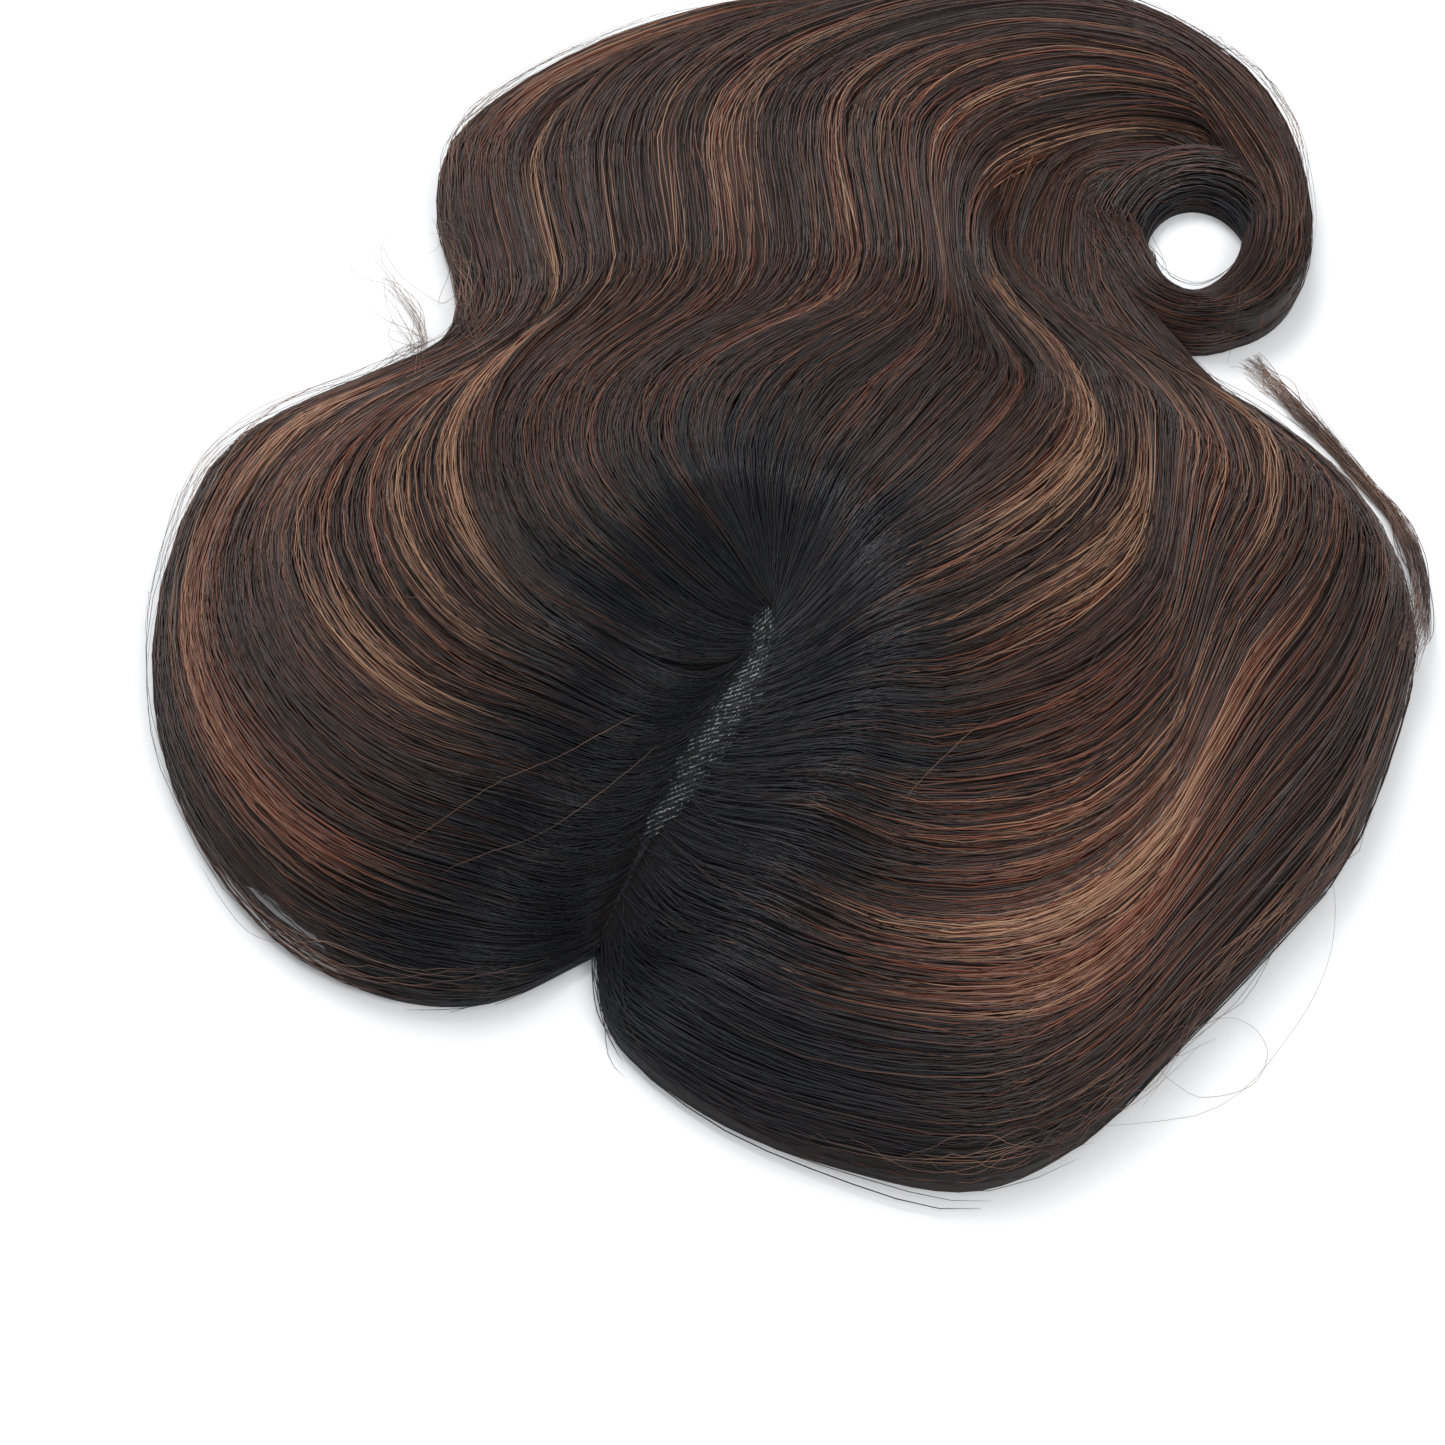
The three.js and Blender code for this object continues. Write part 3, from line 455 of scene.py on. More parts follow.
class Sheet:
    """One sheet of hair. Its shares are u, from its outer to its inner edge, and v, along the hair."""

    def __init__(self, first, first_free, table):
        later = [np.array(row[:-3], float).reshape(-1, 2) * SPREAD for row in table]
        self.sections = np.stack([first] + later)
        self.form = np.array([(1.0,) + first_free] + [row[-3:] for row in table])

    def inside(self, u, v):
        across = [
            smooth_along(section[:, None].repeat(len(u), axis=1), u) for section in self.sections
        ]
        return smooth_along(np.stack(across), v)

    def plan(self, u, v):
        """Plan places, carried straight on beyond the edges and ends."""
        near_u = np.clip(u, 0, 1)
        near_v = np.clip(v, 0, 1)
        step = 0.01
        place = self.inside(near_u, near_v)
        for axis, beyond in enumerate((u - near_u, v - near_v)):
            low = [near_u, near_v]
            high = [near_u, near_v]
            low[axis] = np.maximum(low[axis] - step, 0)
            high[axis] = np.minimum(high[axis] + step, 1)
            slope = (self.inside(*high) - self.inside(*low)) / (high[axis] - low[axis])[:, None]
            place = place + slope * beyond[:, None]
        return place

    def top(self, u, v):
        """Places on the top: low at the roots, raised over the crown, rolled down at the free edges."""
        place = self.plan(u, v)
        outer = np.linalg.norm(place - self.plan(np.zeros_like(u), v), axis=1) * (u > 0)
        inner = np.linalg.norm(place - self.plan(np.ones_like(u), v), axis=1) * (u < 1)
        root = np.linalg.norm(place - self.plan(u, np.zeros_like(v)), axis=1) * (v > 0)
        thickness, free_outer, free_inner = smooth_values(self.form, v).T
        rounding = (1 - free_outer * (1 - self.edge_round(outer)))
        rounding *= (1 - free_inner * (1 - self.edge_round(inner)))
        lift = smooth_step(root / ROOT_RISE)
        root_height = base_top(place) + HAIR_GAP + ROOT_COVER
        mat = MAT_THICKNESS * thickness
        full = mat + (CROWN_HEIGHT - mat) / (1 + (base_radius(place) / CROWN_REACH) ** 4)
        height = root_height + (full - root_height) * lift
        height = EDGE_THICKNESS + (height - EDGE_THICKNESS) * rounding
        return np.column_stack([place, height]), lift * rounding

    def edge_round(self, distance):
        t = np.minimum(distance / EDGE_ROLL, 1)
        return np.sqrt(1 - (1 - t) ** 2)


def curl_sections():
    """The inner turn of the end curl, from its outer edge to the curl's hole, which it goes once round."""
    rows = []
    for share in np.linspace(0, 1, CURL_TURN_SECTIONS):
        angle = CURL_TURN_FROM + (CURL_TURN_TO - CURL_TURN_FROM) * share
        way = np.array([math.cos(angle), math.sin(angle)])
        hole = CURL_MIDDLE + way * CURL_HALF * (1.12 - 0.14 * share)
        band = way * CURL_BAND * (1.5 - 0.7 * share) / SPREAD
        top = 0.8 + 0.5 * smooth_step((share - 0.2) / 0.25)
        rows.append((*(hole + band), *(hole + band / 2), *hole, top, 0.5, 1))
    return rows


def make_sheets():
    """The sheets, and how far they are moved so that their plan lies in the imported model's place."""
    turn = curl_sections()
    turn_start = np.array(turn[0][:-3]).reshape(-1, 2) * SPREAD
    sheets = {
        "left": Sheet(part_section(-1, 3, LEFT_CROWN_END), (1, 0), LEFT_SECTIONS),
        "back": Sheet(crown_section(), (0, 0), BACK_SECTIONS),
        "right": Sheet(part_section(1, 4, RIGHT_CROWN_END), (1, 0), RIGHT_SECTIONS),
        "curl": Sheet(turn_start, (0.5, 1), turn[1:]),
    }
    edge = np.linspace(0, 1, 400)
    outer = np.zeros_like(edge)
    left_edge = sheets["left"].plan(outer, edge)[:, 0].min()
    front_edge = sheets["right"].plan(outer, edge)[:, 1].min()
    shift = np.array([
        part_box("hair_left")[0].x - left_edge,
        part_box("hair_right")[0].y - front_edge,
    ])
    return sheets, shift


SHEETS, SHIFT = make_sheets()


def padded(share):
    """A share of a sheet, counted from FLOW_PAD before its start to FLOW_PAD past its end."""
    return (np.clip(share, -FLOW_PAD, 1 + FLOW_PAD) + FLOW_PAD) / (1 + 2 * FLOW_PAD)


def streak_noise(u, v, across, along, seed):
    """Smooth noise from -1 to 1 with so many streaks across the hair and changes along it."""
    table = np.random.default_rng(seed).uniform(-1, 1, (across + 4, along + 4))
    x = padded(u) * across
    y = padded(v) * along
    i = x.astype(int)
    j = y.astype(int)
    fx = smooth_step(x - i)
    fy = smooth_step(y - j)
    low = table[i, j] * (1 - fx) + table[i + 1, j] * fx
    high = table[i, j + 1] * (1 - fx) + table[i + 1, j + 1] * fx
    return low * (1 - fy) + high * fy


def grid_shares(u_values, v_values):
    u, v = np.meshgrid(u_values, v_values, indexing="ij")
    return u.ravel(), v.ravel()


def grid_faces(rows, columns):
    corner = np.arange((rows - 1) * columns).reshape(rows - 1, columns)[:, :-1].ravel()
    return np.column_stack([corner, corner + columns, corner + columns + 1, corner + 1])


def relief(u, v, sizes, seed):
    """Height of the locks over the smooth top."""
    height = sizes.lock_relief * streak_noise(u, v, 14, 5, seed)
    height += 0.5 * sizes.lock_relief * streak_noise(u, v, 36, 8, seed + 1)
    return height


def patch(u, v, mid_u, mid_v, reach_u, reach_v):
    """How far places of a sheet lie in a patch, from 0 to 1."""
    return np.exp(-((u - mid_u) / reach_u) ** 2 - ((v - mid_v) / reach_v) ** 2)


def tints(name, u, v, place, root_place):
    """Three shares at places of a sheet: how dark the roots and the painted shade in the curl's hollow are,
    and how many caramel and copper hairs.
    """
    distance = np.linalg.norm(place - root_place, axis=1)
    ragged = 0.014 * streak_noise(u, v, 30, 2, 91) + 0.012 * streak_noise(u, v, 90, 3, 92)
    root = 1 - smooth_step((distance + ragged - ROOT_DARK) / ROOT_FADE)
    caramel = np.full(len(u), CARAMEL_SHARE)
    copper = np.full(len(u), COPPER_SHARE)
    for sheet, *spot, light, warm in LIGHT_PATCHES:
        if sheet == name:
            caramel += light * patch(u, v, *spot)
            copper += warm * patch(u, v, *spot)
    # Darker patches raise the share of the roots' colour; some of them are painted shade in the hollow round
    # the curl's hole.
    for sheet, *spot, dark in DARK_HAIR_AND_SHADE_PATCHES:
        if sheet == name:
            root = np.maximum(root, root + (1 - root) * dark * patch(u, v, *spot))
    streaks = 1 + 0.6 * streak_noise(u, v, 45, 4, 93)
    # Painted shade: the curl's inner turn takes some of the roots' colour all over, and more towards its
    # hole, for the shade in the hollow.
    if name == "curl":
        root = 0.27 + 0.5 * smooth_step((u - 0.45) / 0.5)
    return np.column_stack([root, caramel * streaks, copper * streaks])


def slit(name, u, v):
    """How far the strands are left out at places of a sheet, from 0 to 1."""
    across = ((u - SLIT_MIDDLE[0]) / SLIT_REACH[0]) ** 2
    along = ((v - SLIT_MIDDLE[1]) / SLIT_REACH[1]) ** 2
    return (name == "left") * np.exp(-(across + along) ** 2)


def link(name, data):
    """A new object with these data, in the scene."""
    obj = bpy.data.objects.new(name, data)
    bpy.context.scene.collection.objects.link(obj)
    return obj


def new_mesh(name, vertices, faces):
    mesh = bpy.data.meshes.new(name)
    mesh.from_pydata([tuple(p) for p in vertices], [], [tuple(int(i) for i in f) for f in faces])
    mesh.update()
    return link(name, mesh)


def outward(mesh):
    shell = bmesh.new()
    shell.from_mesh(mesh)
    bmesh.ops.recalc_face_normals(shell, faces=shell.faces)
    shell.to_mesh(mesh)
    shell.free()


def closed_shell(name, first, second, rows, columns):
    """A closed body between two grids of places, with walls round its rim."""
    count = len(first)
    faces = grid_faces(rows, columns)
    at = np.arange(count).reshape(rows, columns)
    rim = np.concatenate([at[0, :-1], at[:-1, -1], at[-1, :0:-1], at[:0:-1, 0]])
    walls = np.column_stack([rim, np.roll(rim, -1), np.roll(rim, -1) + count, rim + count])
    shell = new_mesh(name, np.concatenate([first, second]), np.concatenate([faces, faces + count, walls]))
    outward(shell.data)
    shell.data.shade_smooth()
    return shell


def store_vectors(mesh, name, values):
    attribute = mesh.attributes.new(name, "FLOAT_VECTOR", "POINT")
    attribute.data.foreach_set("vector", np.asarray(values, np.float32).ravel())


def guide_surface(name, sizes):
    """The surface that a sheet's strands follow, with its shares as UVs and its tints."""
    sheet = SHEETS[name]
    u_values = np.linspace(-GUIDE_PAD, 1 + GUIDE_PAD, GUIDE_COLUMNS)
    v_values = np.linspace(-GUIDE_PAD, 1 + GUIDE_PAD, GUIDE_ROWS)
    u, v = grid_shares(u_values, v_values)
    top, strength = sheet.top(u, v)
    top[:, 2] += strength * relief(u, v, sizes, 50)
    top[:, 2] = np.maximum(top[:, 2], 0.0006)
    place = top[:, :2].copy()
    top[:, :2] += SHIFT
    faces = grid_faces(GUIDE_COLUMNS, GUIDE_ROWS)
    if polygon_area(sheet) < 0:
        faces = faces[:, ::-1]
    guide = new_mesh("guide_" + name, top, faces)
    guide.data.shade_smooth()
    uv = guide.data.uv_layers.new(name="flow")
    loops = np.zeros(len(guide.data.loops), np.int32)
    guide.data.loops.foreach_get("vertex_index", loops)
    shares = padded(np.column_stack([u, v]))
    uv.data.foreach_set("uv", shares[loops].astype(np.float32).ravel())
    root_place = sheet.plan(u, np.zeros_like(v))
    store_vectors(guide.data, "tint", tints(name, u, v, place, root_place))
    open_share = slit(name, u, v)
    store_vectors(guide.data, "slit", np.column_stack([open_share, open_share, open_share]))
    return guide


def polygon_area(sheet):
    """Signed area of a sheet's plan with u and v as its sides, to know which way its faces turn."""
    u = np.array([0.4, 0.6, 0.4])
    v = np.array([0.3, 0.3, 0.32])
    a, b, c = sheet.plan(u, v)
    return (b[0] - a[0]) * (c[1] - a[1]) - (b[1] - a[1]) * (c[0] - a[0])


def hair_body(name, piece, sizes):
    """The solid mass of a sheet under its loose strands: a closed body that stands on the table and,
    over the base, on its dome."""
    sheet = SHEETS[name]
    across, along = BODY_GRIDS[name]
    outer_free, inner_free = sheet.form[0, 1:] > 0
    u, v = grid_shares(np.linspace(0, 1, across), np.linspace(0, 1, along))
    seam = SEAM_MARGIN * (1 + 1.8 * np.exp(-(v / 0.08) ** 2))
    low = FREE_MARGIN if outer_free else seam
    high = FREE_MARGIN if inner_free else seam
    u = low + (1 - low - high) * u
    start = ROOT_START + 0.006 * streak_noise(u, np.zeros_like(v), 40, 1, 61)
    if outer_free:
        start = ROOT_OVERLAP + (start - ROOT_OVERLAP) * smooth_step((u - 0.26) / 0.16)
    v = start + (BODY_END - start) * v
    if name == "left":
        u = u + SLIT_DEPTH * np.exp(-((v - SLIT_MIDDLE[1]) / SLIT_REACH[1]) ** 4) * (1 - u) ** 6
    top, strength = sheet.top(u, v)
    relief_height = relief(u, v, sizes, 50) + 0.4 * sizes.lock_relief * streak_noise(u, v, 80, 12, 60)
    top[:, 2] += strength * (relief_height - BODY_INSET)
    place = top[:, :2].copy()
    over_base = smooth_step((1.03 - base_radius(place)) / 0.05)
    under = over_base * (base_top(place) + HAIR_GAP)
    top[:, 2] = np.maximum(top[:, 2], under + 0.0003)
    top[:, :2] += SHIFT
    bottom = np.column_stack([top[:, :2], under])
    body = closed_shell(piece, top, bottom, across, along)
    flow = np.column_stack([u, v, np.zeros_like(u)])
    store_vectors(body.data, "flow", np.concatenate([flow, flow]))
    tint = tints(name, u, v, place, sheet.plan(u, np.zeros_like(v)))
    store_vectors(body.data, "tint", np.concatenate([tint, tint]))
    return body


def socket(sockets, name):
    """A socket by its place, or the enabled one of that name."""
    if isinstance(name, int):
        return sockets[name]
    for candidate in sockets:
        if candidate.enabled and candidate.name == name:
            return candidate
    raise KeyError(f"no enabled socket {name}")


def add_node(tree, kind, inputs=None, **settings):
    """A node with its settings, whose inputs are given as values or as sockets to link."""
    node = tree.nodes.new(kind)
    for name, value in settings.items():
        setattr(node, name, value)
    for name, value in (inputs or {}).items():
        target = socket(node.inputs, name)
        if isinstance(value, bpy.types.NodeSocket):
            tree.links.new(value, target)
        else:
            target.default_value = value
    return node


def out(node, name=0):
    return socket(node.outputs, name)


def calculate(tree, operation, *values):
    """A Math node's result from two or three numbers or sockets."""
    return out(add_node(tree, "ShaderNodeMath", dict(enumerate(values)), operation=operation))


def remap(tree, value, from_low, from_high, to_low, to_high):
    return out(add_node(tree, "ShaderNodeMapRange", {
        "Value": value, "From Min": from_low, "From Max": from_high, "To Min": to_low, "To Max": to_high,
    }))


def vector(tree, **axes):
    """A vector from its X, Y and Z as numbers or sockets."""
    return out(add_node(tree, "ShaderNodeCombineXYZ", axes))


def parts_of(tree, value):
    """A node with a vector's X, Y and Z."""
    return add_node(tree, "ShaderNodeSeparateXYZ", {0: value})


def noise_at(tree, place, scale, detail, roughness=0.5):
    return out(add_node(tree, "ShaderNodeTexNoise", {
        "Vector": place, "Scale": scale, "Detail": detail, "Roughness": roughness,
    }), "Fac")


def stored(tree, name, kind="FLOAT_VECTOR"):
    """A stored attribute, in a geometry tree."""
    return out(add_node(tree, "GeometryNodeInputNamedAttribute", {"Name": name}, data_type=kind))


def store(tree, geometry, name, value, kind, domain):
    return out(add_node(tree, "GeometryNodeStoreNamedAttribute", {
        "Geometry": geometry, "Name": name, "Value": value,
    }, data_type=kind, domain=domain))


def chance(tree, given, index, number, low=0.0, high=1.0):
    """A random value for each thing that the index numbers. Each number gives another value."""
    seed = calculate(tree, "ADD", out(given, "Seed"), float(number))
    return out(add_node(tree, "FunctionNodeRandomValue", {
        "Min": low, "Max": high, "ID": index, "Seed": seed,
    }, data_type="FLOAT"), "Value")


def geometry_tree(name, inputs):
    """A geometry tree with named inputs, and its input node."""
    tree = bpy.data.node_groups.new(name, "GeometryNodeTree")
    for label, kind, default in inputs:
        item = tree.interface.new_socket(name=label, in_out="INPUT", socket_type=kind)
        if default is not None:
            item.default_value = default
    tree.interface.new_socket(name="Made", in_out="OUTPUT", socket_type="NodeSocketGeometry")
    return tree, add_node(tree, "NodeGroupInput")


def finish_tree(tree, given, geometry):
    """The end of a tree: smooth faces, realized instances and the given material."""
    smooth = add_node(tree, "GeometryNodeSetShadeSmooth", {"Geometry": geometry})
    real = add_node(tree, "GeometryNodeRealizeInstances", {"Geometry": out(smooth)})
    dressed = add_node(tree, "GeometryNodeSetMaterial", {
        "Geometry": out(real), "Material": out(given, "Material"),
    })
    tree.links.new(out(dressed), add_node(tree, "NodeGroupOutput").inputs[0])


STRAND_INPUTS = [
    ("Guide", "NodeSocketGeometry", None),
    ("Strands", "NodeSocketInt", 100),
    ("Segments", "NodeSocketInt", 16),
    ("Radius", "NodeSocketFloat", 0.00012),
    ("Seed", "NodeSocketInt", 1),
    ("Across From", "NodeSocketFloat", 0.0),
    ("Across To", "NodeSocketFloat", 1.0),
    ("Along From", "NodeSocketFloat", 0.0),
    ("Along To", "NodeSocketFloat", 1.0),
    ("Root Share", "NodeSocketFloat", 0.4),
    ("Length From", "NodeSocketFloat", 0.3),
    ("Length To", "NodeSocketFloat", 0.5),
    ("Drift", "NodeSocketFloat", 0.022),
    ("Wobble", "NodeSocketFloat", 0.027),
    ("Lock Pull", "NodeSocketFloat", 0.05),
    ("Layer Depth", "NodeSocketFloat", 0.001),
    ("Sink", "NodeSocketFloat", 0.0005),
    ("Material", "NodeSocketMaterial", None),
]


def strand_start_and_end(tree, given, index):
    """Where each strand starts and ends along its sheet."""
    spread = calculate(tree, "FRACT", calculate(tree, "MULTIPLY_ADD", index, EVEN_ALONG, 0.11))
    root_share = out(given, "Root Share")
    reach = calculate(tree, "ADD", root_share, 1.0)
    share = calculate(tree, "SUBTRACT", calculate(tree, "MULTIPLY", spread, reach), root_share)
    start = remap(tree, share, 0.0, 1.0, out(given, "Along From"), out(given, "Along To"))
    length = chance(tree, given, index, 1, out(given, "Length From"), out(given, "Length To"))
    last = calculate(tree, "ADD", out(given, "Along To"), chance(tree, given, index, 2, -0.03, 0.03))
    end = calculate(tree, "MINIMUM", calculate(tree, "ADD", start, length), last)
    first = calculate(tree, "ADD", start, chance(tree, given, index, 3, -0.007, 0.012))
    return first, end


def strand_across(tree, given, index, t, v):
    """Where each strand lies across its sheet: gathered into locks, drifting and waving its own way."""
    spread = calculate(tree, "FRACT", calculate(tree, "MULTIPLY_ADD", index, EVEN_ACROSS, 0.37))
    home = remap(tree, spread, 0.0, 1.0, out(given, "Across From"), out(given, "Across To"))

    def shared_noise(across, along, seed):
        streaks = calculate(tree, "MULTIPLY", home, across)
        changes = calculate(tree, "MULTIPLY", v, along)
        noise = noise_at(tree, vector(tree, X=streaks, Y=changes, Z=seed), 1.0, 1.0)
        return calculate(tree, "SUBTRACT", noise, 0.5)

    wide = calculate(tree, "MULTIPLY", shared_noise(16.0, 5.0, 3.1), out(given, "Lock Pull"))
    narrow = calculate(tree, "MULTIPLY", shared_noise(55.0, 8.0, 7.7), out(given, "Lock Pull"))
    gathered = calculate(tree, "ADD", home, calculate(tree, "MULTIPLY_ADD", narrow, 0.3, wide))
    is_stray = calculate(tree, "GREATER_THAN", chance(tree, given, index, 4), 0.9)
    stray = calculate(tree, "MULTIPLY_ADD", is_stray, 3.0, 1.0)
    reach = calculate(tree, "MULTIPLY", stray, out(given, "Drift"))
    drift = calculate(tree, "MULTIPLY", chance(tree, given, index, 5, -1.0, 1.0), reach)
    drifted = calculate(tree, "MULTIPLY_ADD", drift, t, gathered)
    own_place = vector(
        tree, X=calculate(tree, "MULTIPLY", v, 9.0), Y=calculate(tree, "MULTIPLY", index, 3.7),
        Z=out(given, "Seed"),
    )
    own_noise = calculate(tree, "SUBTRACT", noise_at(tree, own_place, 1.0, 1.0), 0.5)
    return calculate(tree, "ADD", drifted, calculate(tree, "MULTIPLY", own_noise, out(given, "Wobble")))


def on_guide(tree, share):
    """A share of the sheet, kept on its guide, as a coordinate of the guide's flow."""
    limit = GUIDE_PAD - 0.002
    kept = calculate(tree, "MINIMUM", calculate(tree, "MAXIMUM", share, -limit), 1 + limit)
    return remap(tree, kept, -FLOW_PAD, 1 + FLOW_PAD, 0.0, 1.0)


def strand_tree():
    """Geometry nodes that lay tapered strands along a guide surface by its flow UVs."""
    tree, given = geometry_tree("topper_strands", STRAND_INPUTS)
    line = add_node(tree, "GeometryNodeCurvePrimitiveLine")
    points = calculate(tree, "ADD", out(given, "Segments"), 1.0)
    fine = add_node(tree, "GeometryNodeResampleCurve", {"Curve": out(line), "Count": points})
    many = add_node(tree, "GeometryNodeDuplicateElements", {
        "Geometry": out(fine), "Amount": out(given, "Strands"),
    }, domain="SPLINE")
    numbered = store(tree, out(many), "strand", out(many, "Duplicate Index"), "INT", "CURVE")
    index = stored(tree, "strand", "INT")
    t = out(add_node(tree, "GeometryNodeSplineParameter"), "Factor")
    first, end = strand_start_and_end(tree, given, index)
    v = remap(tree, t, 0.0, 1.0, first, end)
    u = strand_across(tree, given, index, t, v)
    where = vector(tree, X=on_guide(tree, u), Y=on_guide(tree, v))

    def sample(value):
        return out(add_node(tree, "GeometryNodeSampleUVSurface", {
            "Mesh": out(given, "Guide"), "Value": value, "UV Map": stored(tree, "flow"), "Sample UV": where,
        }, data_type="FLOAT_VECTOR"), "Value")

    spot = sample(out(add_node(tree, "GeometryNodeInputPosition")))
    normal = sample(out(add_node(tree, "GeometryNodeInputNormal")))
    left_out = out(parts_of(tree, sample(stored(tree, "slit"))), "X")
    kept = calculate(tree, "SUBTRACT", 1.0, calculate(tree, "MULTIPLY", left_out, 0.97))
    from_middle = calculate(tree, "ABSOLUTE", calculate(tree, "MULTIPLY_ADD", t, 2.0, -1.0))
    near_end = calculate(tree, "POWER", from_middle, 6.0)
    depth = calculate(tree, "MULTIPLY", chance(tree, given, index, 6), out(given, "Layer Depth"))
    above = calculate(tree, "MULTIPLY", depth, calculate(tree, "SUBTRACT", 1.0, near_end))
    lift = calculate(tree, "SUBTRACT", above, calculate(tree, "MULTIPLY", near_end, out(given, "Sink")))
    raised = add_node(tree, "ShaderNodeVectorMath", {0: normal, "Scale": lift}, operation="SCALE")
    lifted = out(add_node(tree, "ShaderNodeVectorMath", {0: spot, 1: out(raised)}, operation="ADD"))
    parts = parts_of(tree, lifted)
    lowest = calculate(tree, "MULTIPLY", out(given, "Radius"), 1.5)
    above_table = vector(
        tree, X=out(parts, "X"), Y=out(parts, "Y"), Z=calculate(tree, "MAXIMUM", out(parts, "Z"), lowest),
    )
    toned = store(tree, numbered, "tone", chance(tree, given, index, 7), "FLOAT", "POINT")
    tinted = store(tree, toned, "tint", sample(stored(tree, "tint")), "FLOAT_VECTOR", "POINT")
    laid = add_node(tree, "GeometryNodeSetPosition", {"Geometry": tinted, "Position": above_table})
    tapered = calculate(tree, "SUBTRACT", 1.0, calculate(tree, "MULTIPLY", near_end, 0.75))
    own_size = calculate(tree, "MULTIPLY", tapered, chance(tree, given, index, 8, 0.6, 1.35))
    ring = add_node(tree, "GeometryNodeCurvePrimitiveCircle", {
        "Resolution": 3, "Radius": out(given, "Radius"),
    })
    tubes = add_node(tree, "GeometryNodeCurveToMesh", {
        "Curve": out(laid), "Profile Curve": out(ring), "Scale": calculate(tree, "MULTIPLY", own_size, kept),
        "Fill Caps": True,
    })
    finish_tree(tree, given, out(tubes))
    return tree


def grow(guide, piece, tree, values):
    """A plain mesh from a node tree on a surface. The tree's inputs are set by their identifiers."""
    modifier = guide.modifiers.new("strands", "NODES")
    modifier.node_group = tree
    for item in tree.interface.items_tree:
        if item.item_type == "SOCKET" and item.in_out == "INPUT" and item.name in values:
            modifier[item.identifier] = values[item.name]
    graph = bpy.context.evaluated_depsgraph_get()
    mesh = bpy.data.meshes.new_from_object(guide.evaluated_get(graph))
    guide.modifiers.remove(modifier)
    mesh.name = piece
    for spare in ("strand", "flow"):
        if spare in mesh.attributes:
            mesh.attributes.remove(mesh.attributes[spare])
    return link(piece, mesh)


def mixed(tree, share, first, second):
    """Colour between two, by a share."""
    node = add_node(tree, "ShaderNodeMix", {"Factor": share, "A": first, "B": second}, data_type="RGBA")
    return out(node, "Result")


def hair_colour(tree, tone, tint, colours):
    """A hair's colour from its own tone (0 to 1) and the tints where it lies."""
    shares = parts_of(tree, tint)
    second = calculate(tree, "FRACT", calculate(tree, "MULTIPLY", tone, 7.31))
    third = calculate(tree, "FRACT", calculate(tree, "MULTIPLY", tone, 17.7))
    caramel = remap(tree, calculate(tree, "SUBTRACT", out(shares, "Y"), tone), 0.0, 0.3, 0.0, 1.0)
    copper = remap(tree, calculate(tree, "SUBTRACT", out(shares, "Z"), second), -0.1, 0.25, 0.0, 1.0)
    ragged = calculate(tree, "MULTIPLY_ADD", calculate(tree, "SUBTRACT", third, 0.5), 0.6, out(shares, "X"))
    early = calculate(tree, "MULTIPLY", caramel, -0.35)
    # The roots' share also carries the painted shade of the curl's hollow, which takes the roots' colour.
    root = remap(tree, calculate(tree, "ADD", ragged, early), 0.1, 0.75, 0.0, 1.0)
    brown = mixed(tree, third, (*colours.dark_brown, 1), (*colours.brown, 1))
    warm = mixed(tree, copper, brown, (*colours.copper, 1))
    light = mixed(tree, caramel, warm, (*colours.caramel, 1))
    return mixed(tree, root, light, (*colours.root, 1))


def shader(name):
    """A new material with its tree and its surface shader."""
    material = bpy.data.materials.new(name)
    material.use_nodes = True
    return material, material.node_tree, material.node_tree.nodes["Principled BSDF"]


def attribute(tree, name, result):
    return out(add_node(tree, "ShaderNodeAttribute", attribute_name=name), result)


def object_place(tree):
    return out(add_node(tree, "ShaderNodeTexCoord"), "Object")


def finish(tree, surface, colour, roughness):
    tree.links.new(colour, surface.inputs["Base Color"])
    surface.inputs["Roughness"].default_value = roughness


def bump(tree, surface, height, strength, distance):
    node = add_node(tree, "ShaderNodeBump", {"Strength": strength, "Distance": distance, "Height": height})
    tree.links.new(out(node), surface.inputs["Normal"])


def sheen(tree, surface, tint, at_roots, at_lengths):
    """Makes hair shine less at its dark roots, and where shade is painted in the hollow round the curl's
    hole.
    """
    root = out(parts_of(tree, tint), "X")
    tree.links.new(remap(tree, root, 0.2, 0.9, at_lengths, at_roots), surface.inputs["Specular IOR Level"])


def strand_material(colours):
    """Strands: each has its own tone, with the tints of the place where it lies."""
    material, tree, surface = shader("hair_strand")
    tone = attribute(tree, "tone", "Fac")
    tint = attribute(tree, "tint", "Vector")
    finish(tree, surface, hair_colour(tree, tone, tint, colours), 0.36)
    sheen(tree, surface, tint, 0.22, 0.48)
    return material


def body_material(colours):
    """The mass between the strands: the same colours in fine streaks along the flow, darkened by a painted
    shade, and their relief.
    """
    material, tree, surface = shader("hair_mass")
    flow = parts_of(tree, attribute(tree, "flow", "Vector"))
    streaks_across = calculate(tree, "MULTIPLY", out(flow, "X"), 520.0)
    changes_along = calculate(tree, "MULTIPLY", out(flow, "Y"), 6.0)
    noise = noise_at(tree, vector(tree, X=streaks_across, Y=changes_along), 1.0, 3.0, 0.65)
    tone = remap(tree, noise, 0.3, 0.7, 0.0, 1.0)
    tint = attribute(tree, "tint", "Vector")
    # Painted shade: the mass is mixed two thirds of the way to a dark colour, for the shade between the
    # strands.
    shaded = mixed(tree, 0.66, hair_colour(tree, tone, tint, colours), (*colours.mass_painted_shade, 1))
    finish(tree, surface, shaded, 0.5)
    sheen(tree, surface, tint, 0.15, 0.3)
    bump(tree, surface, noise, 0.9, 0.0005)
    return material


